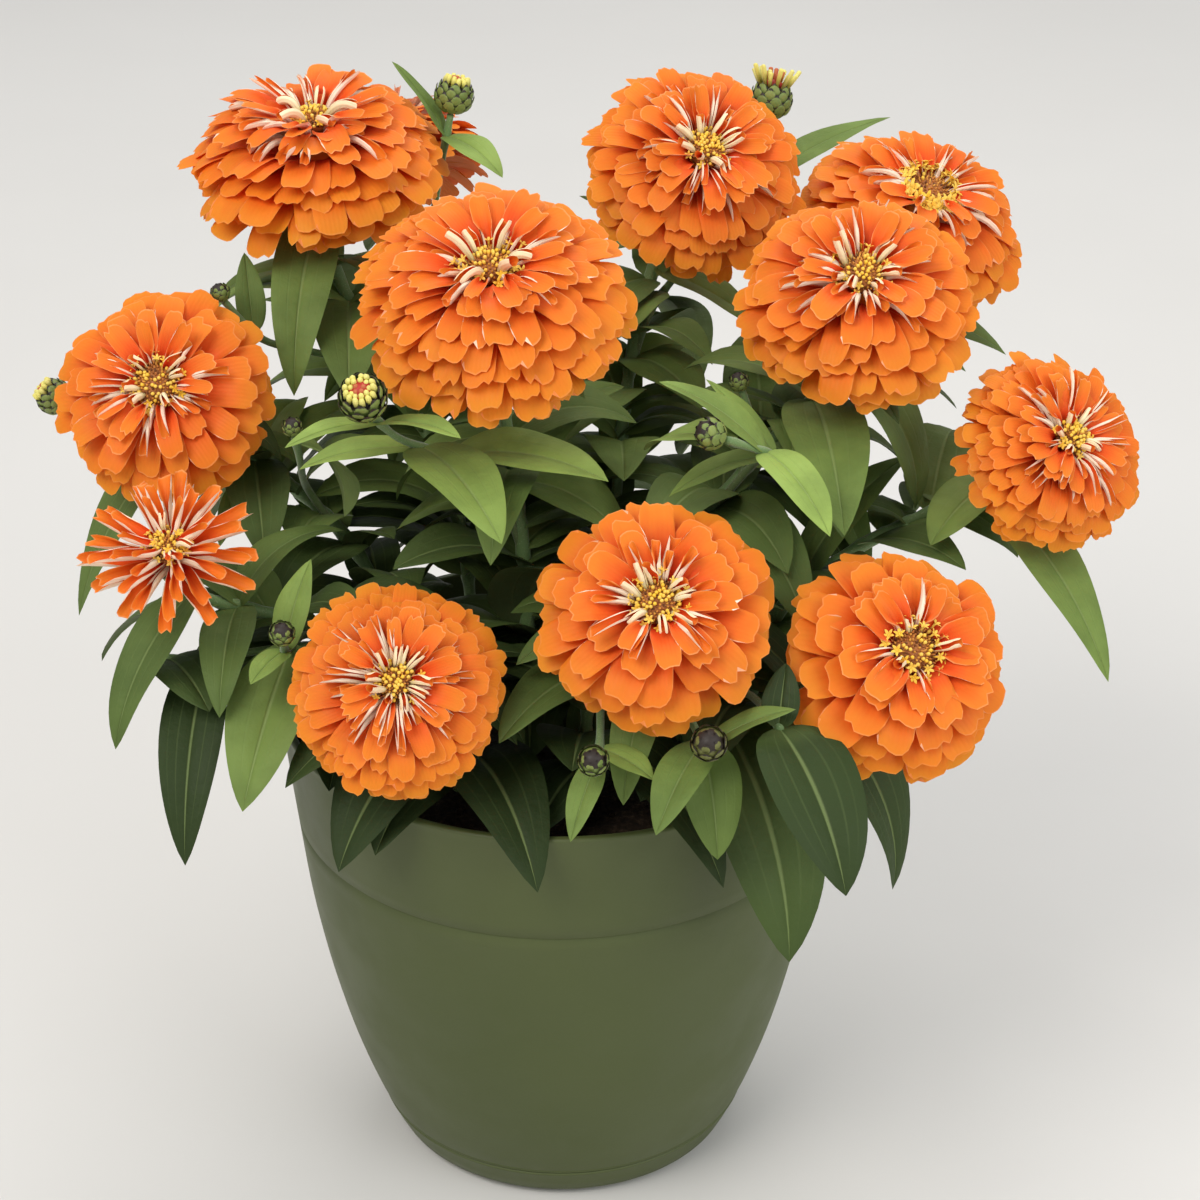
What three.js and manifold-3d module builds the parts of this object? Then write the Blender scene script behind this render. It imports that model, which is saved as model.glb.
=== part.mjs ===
// A potted zinnia: a round plastic planter on its saucer, filled with soil, and a bushy plant
// with twelve double blooms, eleven buds and leafy stems.
// Millimetres, +Z up. The origin is the middle of the saucer's underside. -Y is the front.

import * as THREE from 'three';
import { mergeVertices } from 'three/addons/utils/BufferGeometryUtils.js';
import Module from 'manifold-3d';

const wasm = await Module();
wasm.setup();

// Driving dimensions of the planter, with its outline as [height, radius]

const ROUND_SIDES = 24;
const GAP = 0.3;
const WALL = 3.2;
const POT_HEIGHT = 226;
const RIM_RADIUS = 127;
const OUTLINE = [
  [0, 79.3],
  [18.3, 87.8],
  [49, 98.8],
  [87.4, 108.8],
  [128.8, 116.5],
  [171.8, 121.5],
  [POT_HEIGHT, RIM_RADIUS],
];
const SAUCER_HEIGHT = 18.3;
const SAUCER_WALL = 2.6;
const SAUCER_FLOOR = 2.6;
const SAUCER_FOOT = { inset: 3, edge: 2, bulge: 0.4, bulgeHeight: 10 };
const REST_RING = { inner: 60, outer: 66, top: 5 };
const FOOT_RADIUS = 75;
const FOOT_TOP_RADIUS = 82;
const POT_FLOOR = 3.4;
const GROOVE = { height: 171.8, depth: 1, halfWidth: 1.2 };
const RIM_LIP = 4;
const RIM_EDGE = 1;
const OUTER_HEIGHTS = [49, 87.4, 128.8];
const INNER_HEIGHTS = [49, 87.4, 171.8];
const DRAIN = { count: 4, radius: 6, circle: 38, sides: 8 };
const SOIL_TOP = 204;
const SOIL_MOUND = 5;
const SOIL_EDGE_GAP = 1.2;
const SOIL_SHOULDER = { out: 0.6, up: 0.7 };

// Driving dimensions of the plant

const STEM_RADIUS = 2.7;
const SHOOT_RADIUS = 1.8;
const STEM_SIDES = 5;
const STEM_STEP = 40;
const FEWEST_STEPS = { stem: 7, shoot: 4 };
const STRAIGHT_ROOT = 60;
const ROUTE_STEPS = 60;
const HOLE = { depth: 28, sides: 6, radius: 3.5 };
const CALYX = { height: 11, sides: 5, topShare: 0.12, shoulder: 0.4, stemEnd: 5 };
const BLADE_THICKNESS = 1.4;
const BLADE_STATIONS = { broad: [0.14, 0.43, 0.76], slim: [0.2, 0.62] };
const BROAD_WIDTH = 27;
const ROOT_OUT = 0.4;
const FOLD = 14;
const PAIR = { pitch: 38, bend: 84 };
const PAIR_SPREAD = { azimuth: 16, pitch: 20, bend: 30, length: 0.2, roll: 24 };
const CLEARANCE = 6;
const CLOSE_CLEARANCE = 3.5;
const SAMPLE_STEP = 5;
const OWN_ROOM = 15;
const SEED = 20;

// The turns, tilts and sizes that a leaf tries in this order, until it is clear of the rest

const TRIED_SIZES = [1, 0.8, 0.62];
const TRIED_TURNS = [0, 8, -8, 16, -16, 28, -28, 42, -42, 60, -60];
const TRIED_TILTS = [0, 8, -8, 16, -16, 28];

// Blooms: the middle of the disc, the way it faces (azimuth from +X, elevation) and its diameter

const BLOOMS = {
  1: { disc: [-110, 100, 462], faces: [270, 80], across: 118 },
  2: { disc: [-27, -20, 439], faces: [268, 66], across: 117 },
  3: { disc: [66, 100, 448], faces: [290, 48], across: 102 },
  4: { disc: [130, 15, 422], faces: [270, 60], across: 104 },
  5: { disc: [170, 125, 419], faces: [305, 62], across: 106 },
  6: { disc: [-172, -5, 379], faces: [262, 40], across: 98 },
  7: { disc: [-159, -85, 344], faces: [266, 58], across: 74, kind: 'young' },
  8: { disc: [221, -10, 356], faces: [302, 42], across: 88 },
  9: { disc: [-64, -125, 301], faces: [276, 42], across: 88 },
  10: { disc: [41, -115, 332], faces: [270, 46], across: 100 },
  11: { disc: [146, -110, 307], faces: [292, 44], across: 100 },
  12: { disc: [-82, 208, 424], faces: [95, 52], across: 90 },
};
const DISC_HEIGHT_SHARE = 0.52;

// Tiers of petals, from the lowest up. Places are [distance from the axis, height] as shares of
// the bloom's radius, and wide is half a petal's breadth as a share of the tier's spacing.

const TIERS = {
  full: [
    { petals: 12, hub: [0.5, -0.05], mid: [0.74, -0.02], tip: [0.93, -0.2], wide: 0.46 },
    { petals: 12, hub: [0.5, 0.16], mid: [0.78, 0.22], tip: [1, 0.07], wide: 0.46 },
    { petals: 11, hub: [0.4, 0.33], mid: [0.62, 0.42], tip: [0.86, 0.31], wide: 0.45 },
    { petals: 9, hub: [0.26, 0.5], mid: [0.42, 0.59], tip: [0.64, 0.53], wide: 0.43 },
    { petals: 7, hub: [0.18, 0.42], mid: [0.26, 0.63], tip: [0.42, 0.74], wide: 0.32 },
  ],
  young: [
    { petals: 11, hub: [0.2, 0.08], mid: [0.6, 0.17], tip: [1, 0.13], wide: 0.27 },
    { petals: 9, hub: [0.19, 0.22], mid: [0.5, 0.42], tip: [0.84, 0.5], wide: 0.24 },
    { petals: 7, hub: [0.16, 0.34], mid: [0.3, 0.58], tip: [0.48, 0.78], wide: 0.24 },
  ],
};
const UNDERSIDE = { hub: [0.2, 0], mid: [0.35, -0.02], tip: [0.6, -0.08] };
const SHOULDER = 0.92;
const EDGE_DROP = 1.2;
const PETAL_JITTER = { reach: 0.04, height: 0.01 };
const BLOOM_FOOT = { sides: 6, share: 0.14 };
const DISC = { florets: 6, share: 0.15, rise: 0.1, floretRise: 0.1 };
const FLORET = { foot: 0.9, dip: 0.6, middle: 1.2 };

// Stems: where each stands in the soil, how far it rises straight, how far it runs straight into
// its bloom, and its pairs of leaves: [share of the way, azimuth, length, width]

const STEMS = {
  1: {
    root: [-42, 46],
    rise: 120,
    reach: 90,
    pairs: [
      [0.34, 20, 88, 38],
      [0.52, 110, 88, 36],
      [0.7, 30, 78, 30],
      [0.86, 120, 58, 20],
    ],
  },
  2: {
    root: [-14, -12],
    rise: 110,
    reach: 80,
    pairs: [
      [0.3, 330, 84, 40],
      [0.5, 150, 84, 36],
      [0.67, 50, 78, 30],
      [0.85, 140, 58, 20],
    ],
  },
  3: {
    root: [24, 42],
    rise: 120,
    reach: 90,
    pairs: [
      [0.34, 80, 84, 36],
      [0.52, 170, 84, 34],
      [0.7, 90, 74, 28],
      [0.86, 10, 52, 18],
    ],
  },
  4: {
    root: [46, 4],
    rise: 100,
    reach: 80,
    pairs: [
      [0.34, 30, 84, 38],
      [0.52, 120, 84, 36],
      [0.7, 20, 78, 30],
      [0.86, 110, 56, 20],
    ],
  },
  5: {
    root: [72, 48],
    rise: 90,
    reach: 90,
    pairs: [
      [0.34, 0, 84, 36],
      [0.52, 90, 88, 36],
      [0.7, 0, 78, 30],
      [0.87, 90, 54, 20],
    ],
  },
  6: {
    root: [-76, 10],
    rise: 80,
    reach: 80,
    pairs: [
      [0.34, 10, 88, 38],
      [0.52, 100, 88, 36],
      [0.7, 10, 74, 28],
      [0.87, 100, 52, 20],
    ],
  },
  7: {
    root: [-84, -34],
    rise: 60,
    reach: 50,
    pairs: [
      [0.32, 70, 84, 38],
      [0.56, 160, 84, 34],
      [0.77, 70, 64, 24],
    ],
  },
  8: {
    root: [88, -4],
    rise: 60,
    reach: 80,
    pairs: [
      [0.36, 100, 88, 38],
      [0.56, 10, 88, 36],
      [0.77, 100, 66, 26],
    ],
  },
  9: {
    root: [-44, -56],
    rise: 50,
    reach: 50,
    pairs: [
      [0.42, 20, 84, 38],
      [0.7, 120, 70, 28],
    ],
  },
  10: {
    root: [12, -62],
    rise: 60,
    reach: 50,
    pairs: [
      [0.34, 350, 80, 38],
      [0.68, 90, 70, 28],
    ],
  },
  11: {
    root: [64, -54],
    rise: 22,
    reach: 56,
    pairs: [
      [0.42, 40, 80, 36],
      [0.68, 150, 72, 30],
    ],
  },
  12: {
    root: [-20, 88],
    rise: 100,
    reach: 80,
    pairs: [
      [0.34, 30, 88, 38],
      [0.5, 120, 88, 36],
      [0.67, 30, 78, 30],
      [0.85, 120, 54, 20],
    ],
  },
};

// Side shoots that end in a bud: the stem they leave and where, the bud's base, the way it faces
// and its radius

const SHOOTS = {
  a: { stem: 12, share: 0.62, end: [-50, 128, 455], faces: [40, 75], radius: 9, crown: true },
  b: { stem: 3, share: 0.62, end: [97, 166, 440], faces: [60, 70], radius: 10, crown: true },
  c: { stem: 2, share: 0.52, end: [-77, -62, 393], faces: [262, 50], radius: 10, crown: true },
  d: { stem: 4, share: 0.55, end: [69, -60, 378], faces: [185, 25], radius: 7 },
  e: { stem: 10, share: 0.55, end: [16, -142, 272], faces: [262, 45], radius: 6.5 },
  f: { stem: 10, share: 0.72, end: [62, -140, 278], faces: [265, 50], radius: 7.5 },
  g: { stem: 7, share: 0.5, end: [-112, -100, 306], faces: [275, 60], radius: 5.5 },
  h: { stem: 6, share: 0.66, end: [-218, 32, 352], faces: [185, 40], radius: 8, crown: true },
  i: { stem: 6, share: 0.55, end: [-112, -20, 362], faces: [250, 70], radius: 4.5 },
  j: { stem: 1, share: 0.6, end: [-147, 42, 398], faces: [200, 70], radius: 4.5 },
  k: { stem: 4, share: 0.6, end: [80, 18, 366], faces: [200, 70], radius: 4.5 },
  m: { stem: 7, share: 0.38, end: [-168, -62, 276], faces: [190, 10] },
  n: { stem: 11, share: 0.4, end: [91, -128, 280], faces: [275, 20] },
};

// Buds: rows of scales as [distance from the axis, height] in shares of the bud's radius

const BUD_ROWS = {
  large: [
    { low: [0.45, 0], tip: [0.98, 0.55] },
    { low: [0.9, 0.45], tip: [1, 1.1] },
    { low: [0.88, 0.95], tip: [0.8, 1.55] },
  ],
  small: [
    { low: [0.5, 0], tip: [1, 0.8] },
    { low: [0.88, 0.65], tip: [0.75, 1.45] },
  ],
};
const SCALES = { large: 7, small: 5 };
const SCALE_ZIGZAG = { low: 0.07, tip: 0.14 };
const BUD_TOP = { large: 1.36, small: 1.8 };
const CROWN = { florets: 6, share: 0.6, rise: 0.5, floretRise: 0.25, seat: 1.6 };
const SHOOT_SET_BACK = 0.6;
const SHOOT_LEAD = 0.4;

// Leaves that were placed one by one: [share of the way, azimuth, pitch, bend, length, width]

const LEAVES = {
  1: [
    [0.8, 274, 21, 60, 87, 36],
    [0.55, 160, 62, 60, 81, 36],
    [0.7, 188, 50, 50, 73, 22],
    [0.84, 190, 30, 70, 60, 26],
  ],
  2: [
    [0.25, 272, 23, 60, 57, 40],
    [0.34, 233, 55, 60, 74, 42],
    [0.38, 288, 48, 60, 74, 42],
    [0.5, 219, 38, 60, 76, 40],
    [0.62, 166, -7, 60, 64, 40],
    [0.66, 340, 10, 70, 64, 36],
  ],
  3: [
    [0.5, 271, 37, 60, 80, 36],
    [0.6, 253, 4, 60, 69, 36],
    [0.66, 308, 13, 60, 54, 34],
    [0.7, 307, 45, 80, 62, 24],
    [0.78, 249, 20, 60, 48, 34],
    [0.84, 199, 56, 30, 52, 20],
  ],
  4: [
    [0.8, 274, 16, 50, 108, 38],
    [0.5, 305, 9, 60, 50, 38],
    [0.76, 286, 5, 60, 74, 27],
    [0.76, 225, 42, 40, 50, 20],
  ],
  5: [[0.8, 346, 11, 50, 62, 28]],
  6: [
    [0.5, 245, 30, 60, 70, 34],
    [0.57, 255, 11, 60, 44, 34],
    [0.9, 229, -7, 50, 104, 26],
    [0.75, 279, 29, 50, 76, 30],
  ],
  7: [
    [0.3, 259, 29, 60, 68, 36],
    [0.45, 217, 29, 60, 60, 36],
    [0.9, 234, -15, 60, 78, 25],
  ],
  8: [
    [0.45, 25, 70, 50, 80, 30],
    [0.5, 289, 23, 60, 58, 38],
    [0.6, 316, 29, 60, 60, 30],
    [0.85, 306, -10, 50, 108, 30],
    [0.88, 229, 10, 50, 52, 30],
  ],
  9: [
    [0.34, 292, 49, 95, 110, 42],
    [0.46, 238, 6, 80, 100, 46],
    [0.3, 262, 40, 80, 84, 38],
    [0.62, 232, 32, 50, 90, 34],
  ],
  10: [
    [0.35, 304, 42, 100, 117, 36],
    [0.3, 239, 42, 60, 57, 36],
    [0.4, 264, 17, 60, 56, 40],
    [0.62, 233, 25, 55, 72, 30],
    [0.5, 177, 70, 60, 54, 36],
  ],
  11: [
    [0.42, 290, 8, 95, 128, 54],
    [0.3, 240, 36, 60, 61, 36],
    [0.5, 254, 6, 60, 76, 36],
    [0.66, 326, -18, 80, 104, 40],
  ],
  12: [[0.6, 223, -7, 60, 60, 36]],
  n: [
    [0.97, 294, -6, 60, 79, 42],
    [0.97, 120, 45, 40, 44, 26],
  ],
  a: [
    [0.9, 309, 9, 40, 44, 19],
    [0.9, 165, 55, 20, 42, 14],
  ],
  b: [[0.7, 31, 32, 30, 96, 23]],
  c: [
    [0.5, 340, 23, 45, 76, 40],
    [0.58, 200, 20, 40, 58, 22],
    [0.62, 290, -2, 45, 80, 34],
    [0.86, 223, 28, 30, 50, 15],
    [0.86, 356, 42, 30, 52, 17],
  ],
  d: [
    [0.55, 154, 51, 20, 44, 14],
    [0.55, 189, 0, 40, 50, 20],
    [0.8, 295, 9, 45, 60, 22],
    [0.8, 167, 43, 40, 54, 23],
  ],
  e: [
    [0.7, 311, 15, 30, 34, 16],
    [0.85, 250, -18, 30, 38, 14],
  ],
  f: [
    [0.3, 291, -9, 75, 105, 36],
    [0.8, 237, 7, 40, 51, 22],
    [0.8, 290, -11, 55, 50, 26],
    [0.9, 30, 59, 35, 40, 17],
  ],
  g: [
    [0.8, 60, 72, 30, 40, 17],
    [0.8, 245, 11, 30, 28, 14],
  ],
  j: [[0.8, 104, 80, 20, 36, 14]],
  m: [
    [0.8, 265, -2, 80, 100, 28],
    [0.98, 300, 20, 50, 46, 30],
  ],
};

// Small helpers

function seeded(seed) {
  let state = seed;
  return () => {
    state = (state * 16807) % 2147483647;
    return state / 2147483647;
  };
}

function direction(azimuth, elevation) {
  const a = THREE.MathUtils.degToRad(azimuth);
  const e = THREE.MathUtils.degToRad(elevation);
  return new THREE.Vector3(Math.cos(a) * Math.cos(e), Math.sin(a) * Math.cos(e), Math.sin(e));
}

function polar(radius, angle, height) {
  return new THREE.Vector3(radius * Math.cos(angle), radius * Math.sin(angle), height);
}

function outlineRadius(height) {
  for (let i = 1; i < OUTLINE.length; i += 1) {
    const [lowHeight, lowRadius] = OUTLINE[i - 1];
    const [highHeight, highRadius] = OUTLINE[i];
    if (height <= highHeight) {
      return lowRadius + ((highRadius - lowRadius) * (height - lowHeight)) / (highHeight - lowHeight);
    }
  }
  return RIM_RADIUS;
}

// A closed surface that is put together from points and triangles

class Surface {
  constructor() {
    this.points = [];
    this.triangles = [];
  }

  point(vector) {
    this.points.push(vector.x, vector.y, vector.z);
    return this.points.length / 3 - 1;
  }

  face(a, b, c) {
    this.triangles.push(a, b, c);
  }

  ringStrip(lower, upper) {
    const count = lower.length;
    for (let i = 0; i < count; i += 1) {
      const next = (i + 1) % count;
      this.face(lower[i], lower[next], upper[next]);
      this.face(lower[i], upper[next], upper[i]);
    }
  }

  cap(ring, centre, facingUp) {
    for (let i = 0; i < ring.length; i += 1) {
      const next = (i + 1) % ring.length;
      if (facingUp) {
        this.face(centre, ring[i], ring[next]);
      } else {
        this.face(centre, ring[next], ring[i]);
      }
    }
  }

  geometry() {
    const made = new THREE.BufferGeometry();
    made.setAttribute('position', new THREE.Float32BufferAttribute(this.points, 3));
    made.setIndex(this.triangles);
    return made;
  }
}

// Solids, for cuts and joins

function toSolid(geometry) {
  const bare = geometry.clone();
  bare.deleteAttribute('normal');
  bare.deleteAttribute('uv');
  const merged = mergeVertices(bare, 1e-4);
  const vertProperties = new Float32Array(merged.attributes.position.array);
  const triVerts = new Uint32Array(merged.index.array);
  return new wasm.Manifold(new wasm.Mesh({ numProp: 3, vertProperties, triVerts }));
}

function toGeometry(solid) {
  const { vertProperties, triVerts } = solid.getMesh();
  const made = new THREE.BufferGeometry();
  made.setAttribute('position', new THREE.BufferAttribute(new Float32Array(vertProperties), 3));
  made.setIndex(new THREE.BufferAttribute(new Uint32Array(triVerts), 1));
  return made;
}

function joined(geometries) {
  const solids = geometries.map(toSolid);
  return toGeometry(solids.reduce((whole, solid) => whole.add(solid)));
}

function lathe(profile, sides = ROUND_SIDES) {
  const points = profile.map(([radius, height]) => new THREE.Vector2(radius, height));
  const turned = new THREE.LatheGeometry(points, sides);
  turned.rotateX(Math.PI / 2);
  return turned;
}

// Planter

function saucerGeometry() {
  const inside = SAUCER_FLOOR;
  return lathe([
    [0, 0],
    [outlineRadius(0) - SAUCER_FOOT.inset, 0],
    [outlineRadius(SAUCER_FOOT.edge), SAUCER_FOOT.edge],
    [outlineRadius(SAUCER_FOOT.bulgeHeight) + SAUCER_FOOT.bulge, SAUCER_FOOT.bulgeHeight],
    [outlineRadius(SAUCER_HEIGHT), SAUCER_HEIGHT],
    [outlineRadius(SAUCER_HEIGHT) - SAUCER_WALL, SAUCER_HEIGHT],
    [outlineRadius(inside) - SAUCER_WALL, inside],
    [REST_RING.outer, inside],
    [REST_RING.outer, REST_RING.top],
    [REST_RING.inner, REST_RING.top],
    [REST_RING.inner, inside],
    [0, inside],
  ]);
}

function potInnerOutline() {
  return INNER_HEIGHTS.map((height) => [outlineRadius(height) - WALL, height]);
}

function potGeometry() {
  const foot = REST_RING.top + GAP;
  const ledge = SAUCER_HEIGHT + GAP;
  const floor = foot + POT_FLOOR;
  const grooveTop = GROOVE.height + GROOVE.halfWidth;
  const grooveBottom = GROOVE.height - GROOVE.halfWidth;
  const body = lathe([
    [0, foot],
    [FOOT_RADIUS, foot],
    [FOOT_TOP_RADIUS, ledge],
    [outlineRadius(ledge), ledge],
    ...OUTER_HEIGHTS.map((height) => [outlineRadius(height), height]),
    [outlineRadius(grooveBottom), grooveBottom],
    [outlineRadius(GROOVE.height) - GROOVE.depth, GROOVE.height],
    [outlineRadius(grooveTop), grooveTop],
    [RIM_RADIUS, POT_HEIGHT - RIM_EDGE],
    [RIM_RADIUS - RIM_EDGE, POT_HEIGHT],
    [RIM_RADIUS - RIM_LIP, POT_HEIGHT],
    ...potInnerOutline().reverse(),
    [FOOT_RADIUS - WALL, floor],
    [0, floor],
  ]);
  let solid = toSolid(body);
  for (let i = 0; i < DRAIN.count; i += 1) {
    const drill = new THREE.CylinderGeometry(DRAIN.radius, DRAIN.radius, 4 * POT_FLOOR, DRAIN.sides);
    drill.rotateX(Math.PI / 2);
    const place = polar(DRAIN.circle, ((i + 0.5) * 2 * Math.PI) / DRAIN.count, foot);
    drill.translate(place.x, place.y, place.z);
    solid = solid.subtract(toSolid(drill));
  }
  return toGeometry(solid);
}

function soilGeometry() {
  const bottom = REST_RING.top + POT_FLOOR + 2 * GAP;
  const edge = outlineRadius(SOIL_TOP) - WALL - SOIL_EDGE_GAP;
  const sides = potInnerOutline().map(([radius, height]) => [radius - GAP, height]);
  const body = lathe([
    [0, bottom],
    [FOOT_RADIUS - WALL - GAP, bottom],
    ...sides,
    [edge, SOIL_TOP],
    [edge * SOIL_SHOULDER.out, SOIL_TOP + SOIL_MOUND * SOIL_SHOULDER.up],
    [0, SOIL_TOP + SOIL_MOUND],
  ]);
  let solid = toSolid(body);
  for (const { root } of Object.values(STEMS)) {
    const length = HOLE.depth + 2 * SOIL_MOUND;
    const drill = new THREE.CylinderGeometry(HOLE.radius, HOLE.radius, length, HOLE.sides);
    drill.rotateX(Math.PI / 2);
    drill.translate(root[0], root[1], SOIL_TOP - HOLE.depth + length / 2 - GAP);
    solid = solid.subtract(toSolid(drill));
  }
  return toGeometry(solid);
}

// Stems and shoots

function bloomBase(bloom) {
  const axis = direction(...bloom.faces);
  const down = (-DISC_HEIGHT_SHARE * bloom.across) / 2;
  return new THREE.Vector3(...bloom.disc).addScaledVector(axis, down);
}

function stemCurves(stem, bloom) {
  const axis = direction(...bloom.faces);
  const foot = new THREE.Vector3(stem.root[0], stem.root[1], SOIL_TOP - HOLE.depth);
  const collar = foot.clone().setZ(foot.z + STRAIGHT_ROOT);
  const above = collar.clone().setZ(collar.z + stem.rise);
  const end = bloomBase(bloom).addScaledVector(axis, -CALYX.stemEnd);
  const before = end.clone().addScaledVector(axis, -stem.reach);
  return [new THREE.LineCurve3(foot, collar), new THREE.CubicBezierCurve3(collar, above, before, end)];
}

function shootCurves(shoot, parent) {
  const start = parent.at(shoot.share);
  const along = parent.along(shoot.share);
  const way = direction(...shoot.faces);
  const end = new THREE.Vector3(...shoot.end).addScaledVector(way, -SHOOT_SET_BACK);
  const lead = SHOOT_LEAD * start.distanceTo(end);
  const after = start.clone().addScaledVector(along, lead);
  const before = end.clone().addScaledVector(way, -lead);
  return [new THREE.CubicBezierCurve3(start, after, before, end)];
}

// A stem's line, measured along its length

class Route {
  constructor(points) {
    this.points = points;
    this.lengths = [0];
    for (let i = 1; i < points.length; i += 1) {
      this.lengths.push(this.lengths[i - 1] + points[i].distanceTo(points[i - 1]));
    }
    this.length = this.lengths[this.lengths.length - 1];
  }

  static along(curves, step, fewest) {
    const points = [curves[0].getPoint(0)];
    for (const curve of curves) {
      const pieces = curve.isLineCurve3 ? 1 : ROUTE_STEPS;
      for (let i = 1; i <= pieces; i += 1) {
        points.push(curve.getPoint(i / pieces));
      }
    }
    const fine = new Route(points);
    const steps = Math.max(fewest, Math.ceil(fine.length / step));
    return new Route(Array.from({ length: steps + 1 }, (_, i) => fine.at(i / steps)));
  }

  stretchAt(share) {
    const wanted = share * this.length;
    let i = 1;
    while (i < this.points.length - 1 && this.lengths[i] < wanted) {
      i += 1;
    }
    return { i, part: (wanted - this.lengths[i - 1]) / (this.lengths[i] - this.lengths[i - 1]) };
  }

  at(share) {
    const { i, part } = this.stretchAt(share);
    return this.points[i - 1].clone().lerp(this.points[i], part);
  }

  along(share) {
    const { i } = this.stretchAt(share);
    return this.points[i].clone().sub(this.points[i - 1]).normalize();
  }
}

function tube(route, radius) {
  const path = new THREE.CurvePath();
  for (let i = 1; i < route.points.length; i += 1) {
    path.add(new THREE.LineCurve3(route.points[i - 1], route.points[i]));
  }
  const section = new THREE.Shape();
  for (let i = 0; i < STEM_SIDES; i += 1) {
    const corner = polar(radius, (i * 2 * Math.PI) / STEM_SIDES, 0);
    if (i === 0) {
      section.moveTo(corner.x, corner.y);
    } else {
      section.lineTo(corner.x, corner.y);
    }
  }
  section.closePath();
  const steps = route.points.length - 1;
  return new THREE.ExtrudeGeometry(section, { steps, extrudePath: path, bevelEnabled: false });
}

function turnedTo(geometry, axis, place) {
  const up = new THREE.Vector3(0, 0, 1);
  geometry.applyQuaternion(new THREE.Quaternion().setFromUnitVectors(up, axis));
  geometry.translate(place.x, place.y, place.z);
  return geometry;
}

function calyxGeometry(bloom) {
  const top = (CALYX.topShare * bloom.across) / 2;
  const cup = lathe(
    [
      [0, -CALYX.height],
      [top, -CALYX.height * CALYX.shoulder],
      [top, -GAP],
      [0, -GAP],
    ],
    CALYX.sides,
  );
  return turnedTo(cup, direction(...bloom.faces), bloomBase(bloom));
}

// Leaves: a blade bends down along its midrib and folds up on both sides of it

function leafBreadth(share) {
  return 2.42 * share ** 0.5 * (1 - share) ** 0.85;
}

function leafPoint(leaf, share, side, lift) {
  const pitch = THREE.MathUtils.degToRad(leaf.pitch);
  const bend = THREE.MathUtils.degToRad(leaf.bend);
  const azimuth = THREE.MathUtils.degToRad(leaf.azimuth);
  const fold = THREE.MathUtils.degToRad(FOLD);
  const roll = THREE.MathUtils.degToRad(leaf.roll);
  const here = pitch - bend * share;
  const out = (leaf.length * (Math.sin(pitch) - Math.sin(here))) / bend;
  const up = (leaf.length * (Math.cos(here) - Math.cos(pitch))) / bend;
  const ahead = new THREE.Vector3(Math.cos(azimuth), Math.sin(azimuth), 0);
  const across = new THREE.Vector3(-Math.sin(azimuth), Math.cos(azimuth), 0);
  const normal = ahead.clone().multiplyScalar(-Math.sin(here));
  normal.z = Math.cos(here);
  const sideways = across.clone().multiplyScalar(Math.cos(roll)).addScaledVector(normal, Math.sin(roll));
  const upwards = normal.clone().multiplyScalar(Math.cos(roll)).addScaledVector(across, -Math.sin(roll));
  const reach = (side * leaf.width * leafBreadth(share)) / 2;
  const point = leaf.base.clone().addScaledVector(ahead, out);
  point.z += up;
  point.addScaledVector(sideways, reach * Math.cos(fold));
  point.addScaledVector(upwards, Math.abs(reach) * Math.sin(fold) + lift);
  return point;
}

function leafGeometry(leaf) {
  const blade = new Surface();
  const half = BLADE_THICKNESS / 2;
  const stations = leaf.width > BROAD_WIDTH ? BLADE_STATIONS.broad : BLADE_STATIONS.slim;
  const rings = stations.map((share) => [
    blade.point(leafPoint(leaf, share, 0, half)),
    blade.point(leafPoint(leaf, share, 1, 0)),
    blade.point(leafPoint(leaf, share, 0, -half)),
    blade.point(leafPoint(leaf, share, -1, 0)),
  ]);
  for (let i = 1; i < rings.length; i += 1) {
    blade.ringStrip(rings[i], rings[i - 1]);
  }
  const root = leaf.base.clone().addScaledVector(direction(leaf.azimuth, leaf.pitch), ROOT_OUT);
  blade.cap(rings[0], blade.point(root), true);
  blade.cap(rings[rings.length - 1], blade.point(leafPoint(leaf, 1, 0, 0)), false);
  return blade.geometry();
}

// What is already in place, as points in cells, so that a new leaf can keep clear of it

const cells = new Map();

function cellKey(x, y, z) {
  return ((x + 512) * 1024 + (y + 512)) * 1024 + (z + 512);
}

function cellOf(value) {
  return Math.floor(value / CLEARANCE);
}

function occupy(samples, owner) {
  for (const { point } of samples) {
    const key = cellKey(cellOf(point.x), cellOf(point.y), cellOf(point.z));
    if (!cells.has(key)) {
      cells.set(key, []);
    }
    cells.get(key).push({ point, owner });
  }
}

function meets(point, other, leaf) {
  if (other.owner === leaf.owner && other.point.distanceTo(leaf.base) < OWN_ROOM) {
    return false;
  }
  return point.distanceTo(other.point) < leaf.room;
}

function touchesOthers(point, leaf) {
  const [x, y, z] = [cellOf(point.x), cellOf(point.y), cellOf(point.z)];
  for (let i = x - 1; i <= x + 1; i += 1) {
    for (let j = y - 1; j <= y + 1; j += 1) {
      for (let k = z - 1; k <= z + 1; k += 1) {
        const found = cells.get(cellKey(i, j, k)) ?? [];
        if (found.some((other) => meets(point, other, leaf))) {
          return true;
        }
      }
    }
  }
  return false;
}

function touchesPlanter(point, room) {
  if (point.z > POT_HEIGHT + room) {
    return false;
  }
  const outer = outlineRadius(point.z);
  const distance = Math.hypot(point.x, point.y);
  const outside = distance > outer + room;
  const inside = distance < outer - WALL - room && point.z > SOIL_TOP + SOIL_MOUND + room;
  return !(outside || inside);
}

function routeSamples(route) {
  const count = Math.ceil(route.length / SAMPLE_STEP);
  const samples = [];
  for (let i = 0; i <= count; i += 1) {
    samples.push({ point: route.at(i / count) });
  }
  return samples;
}

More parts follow.
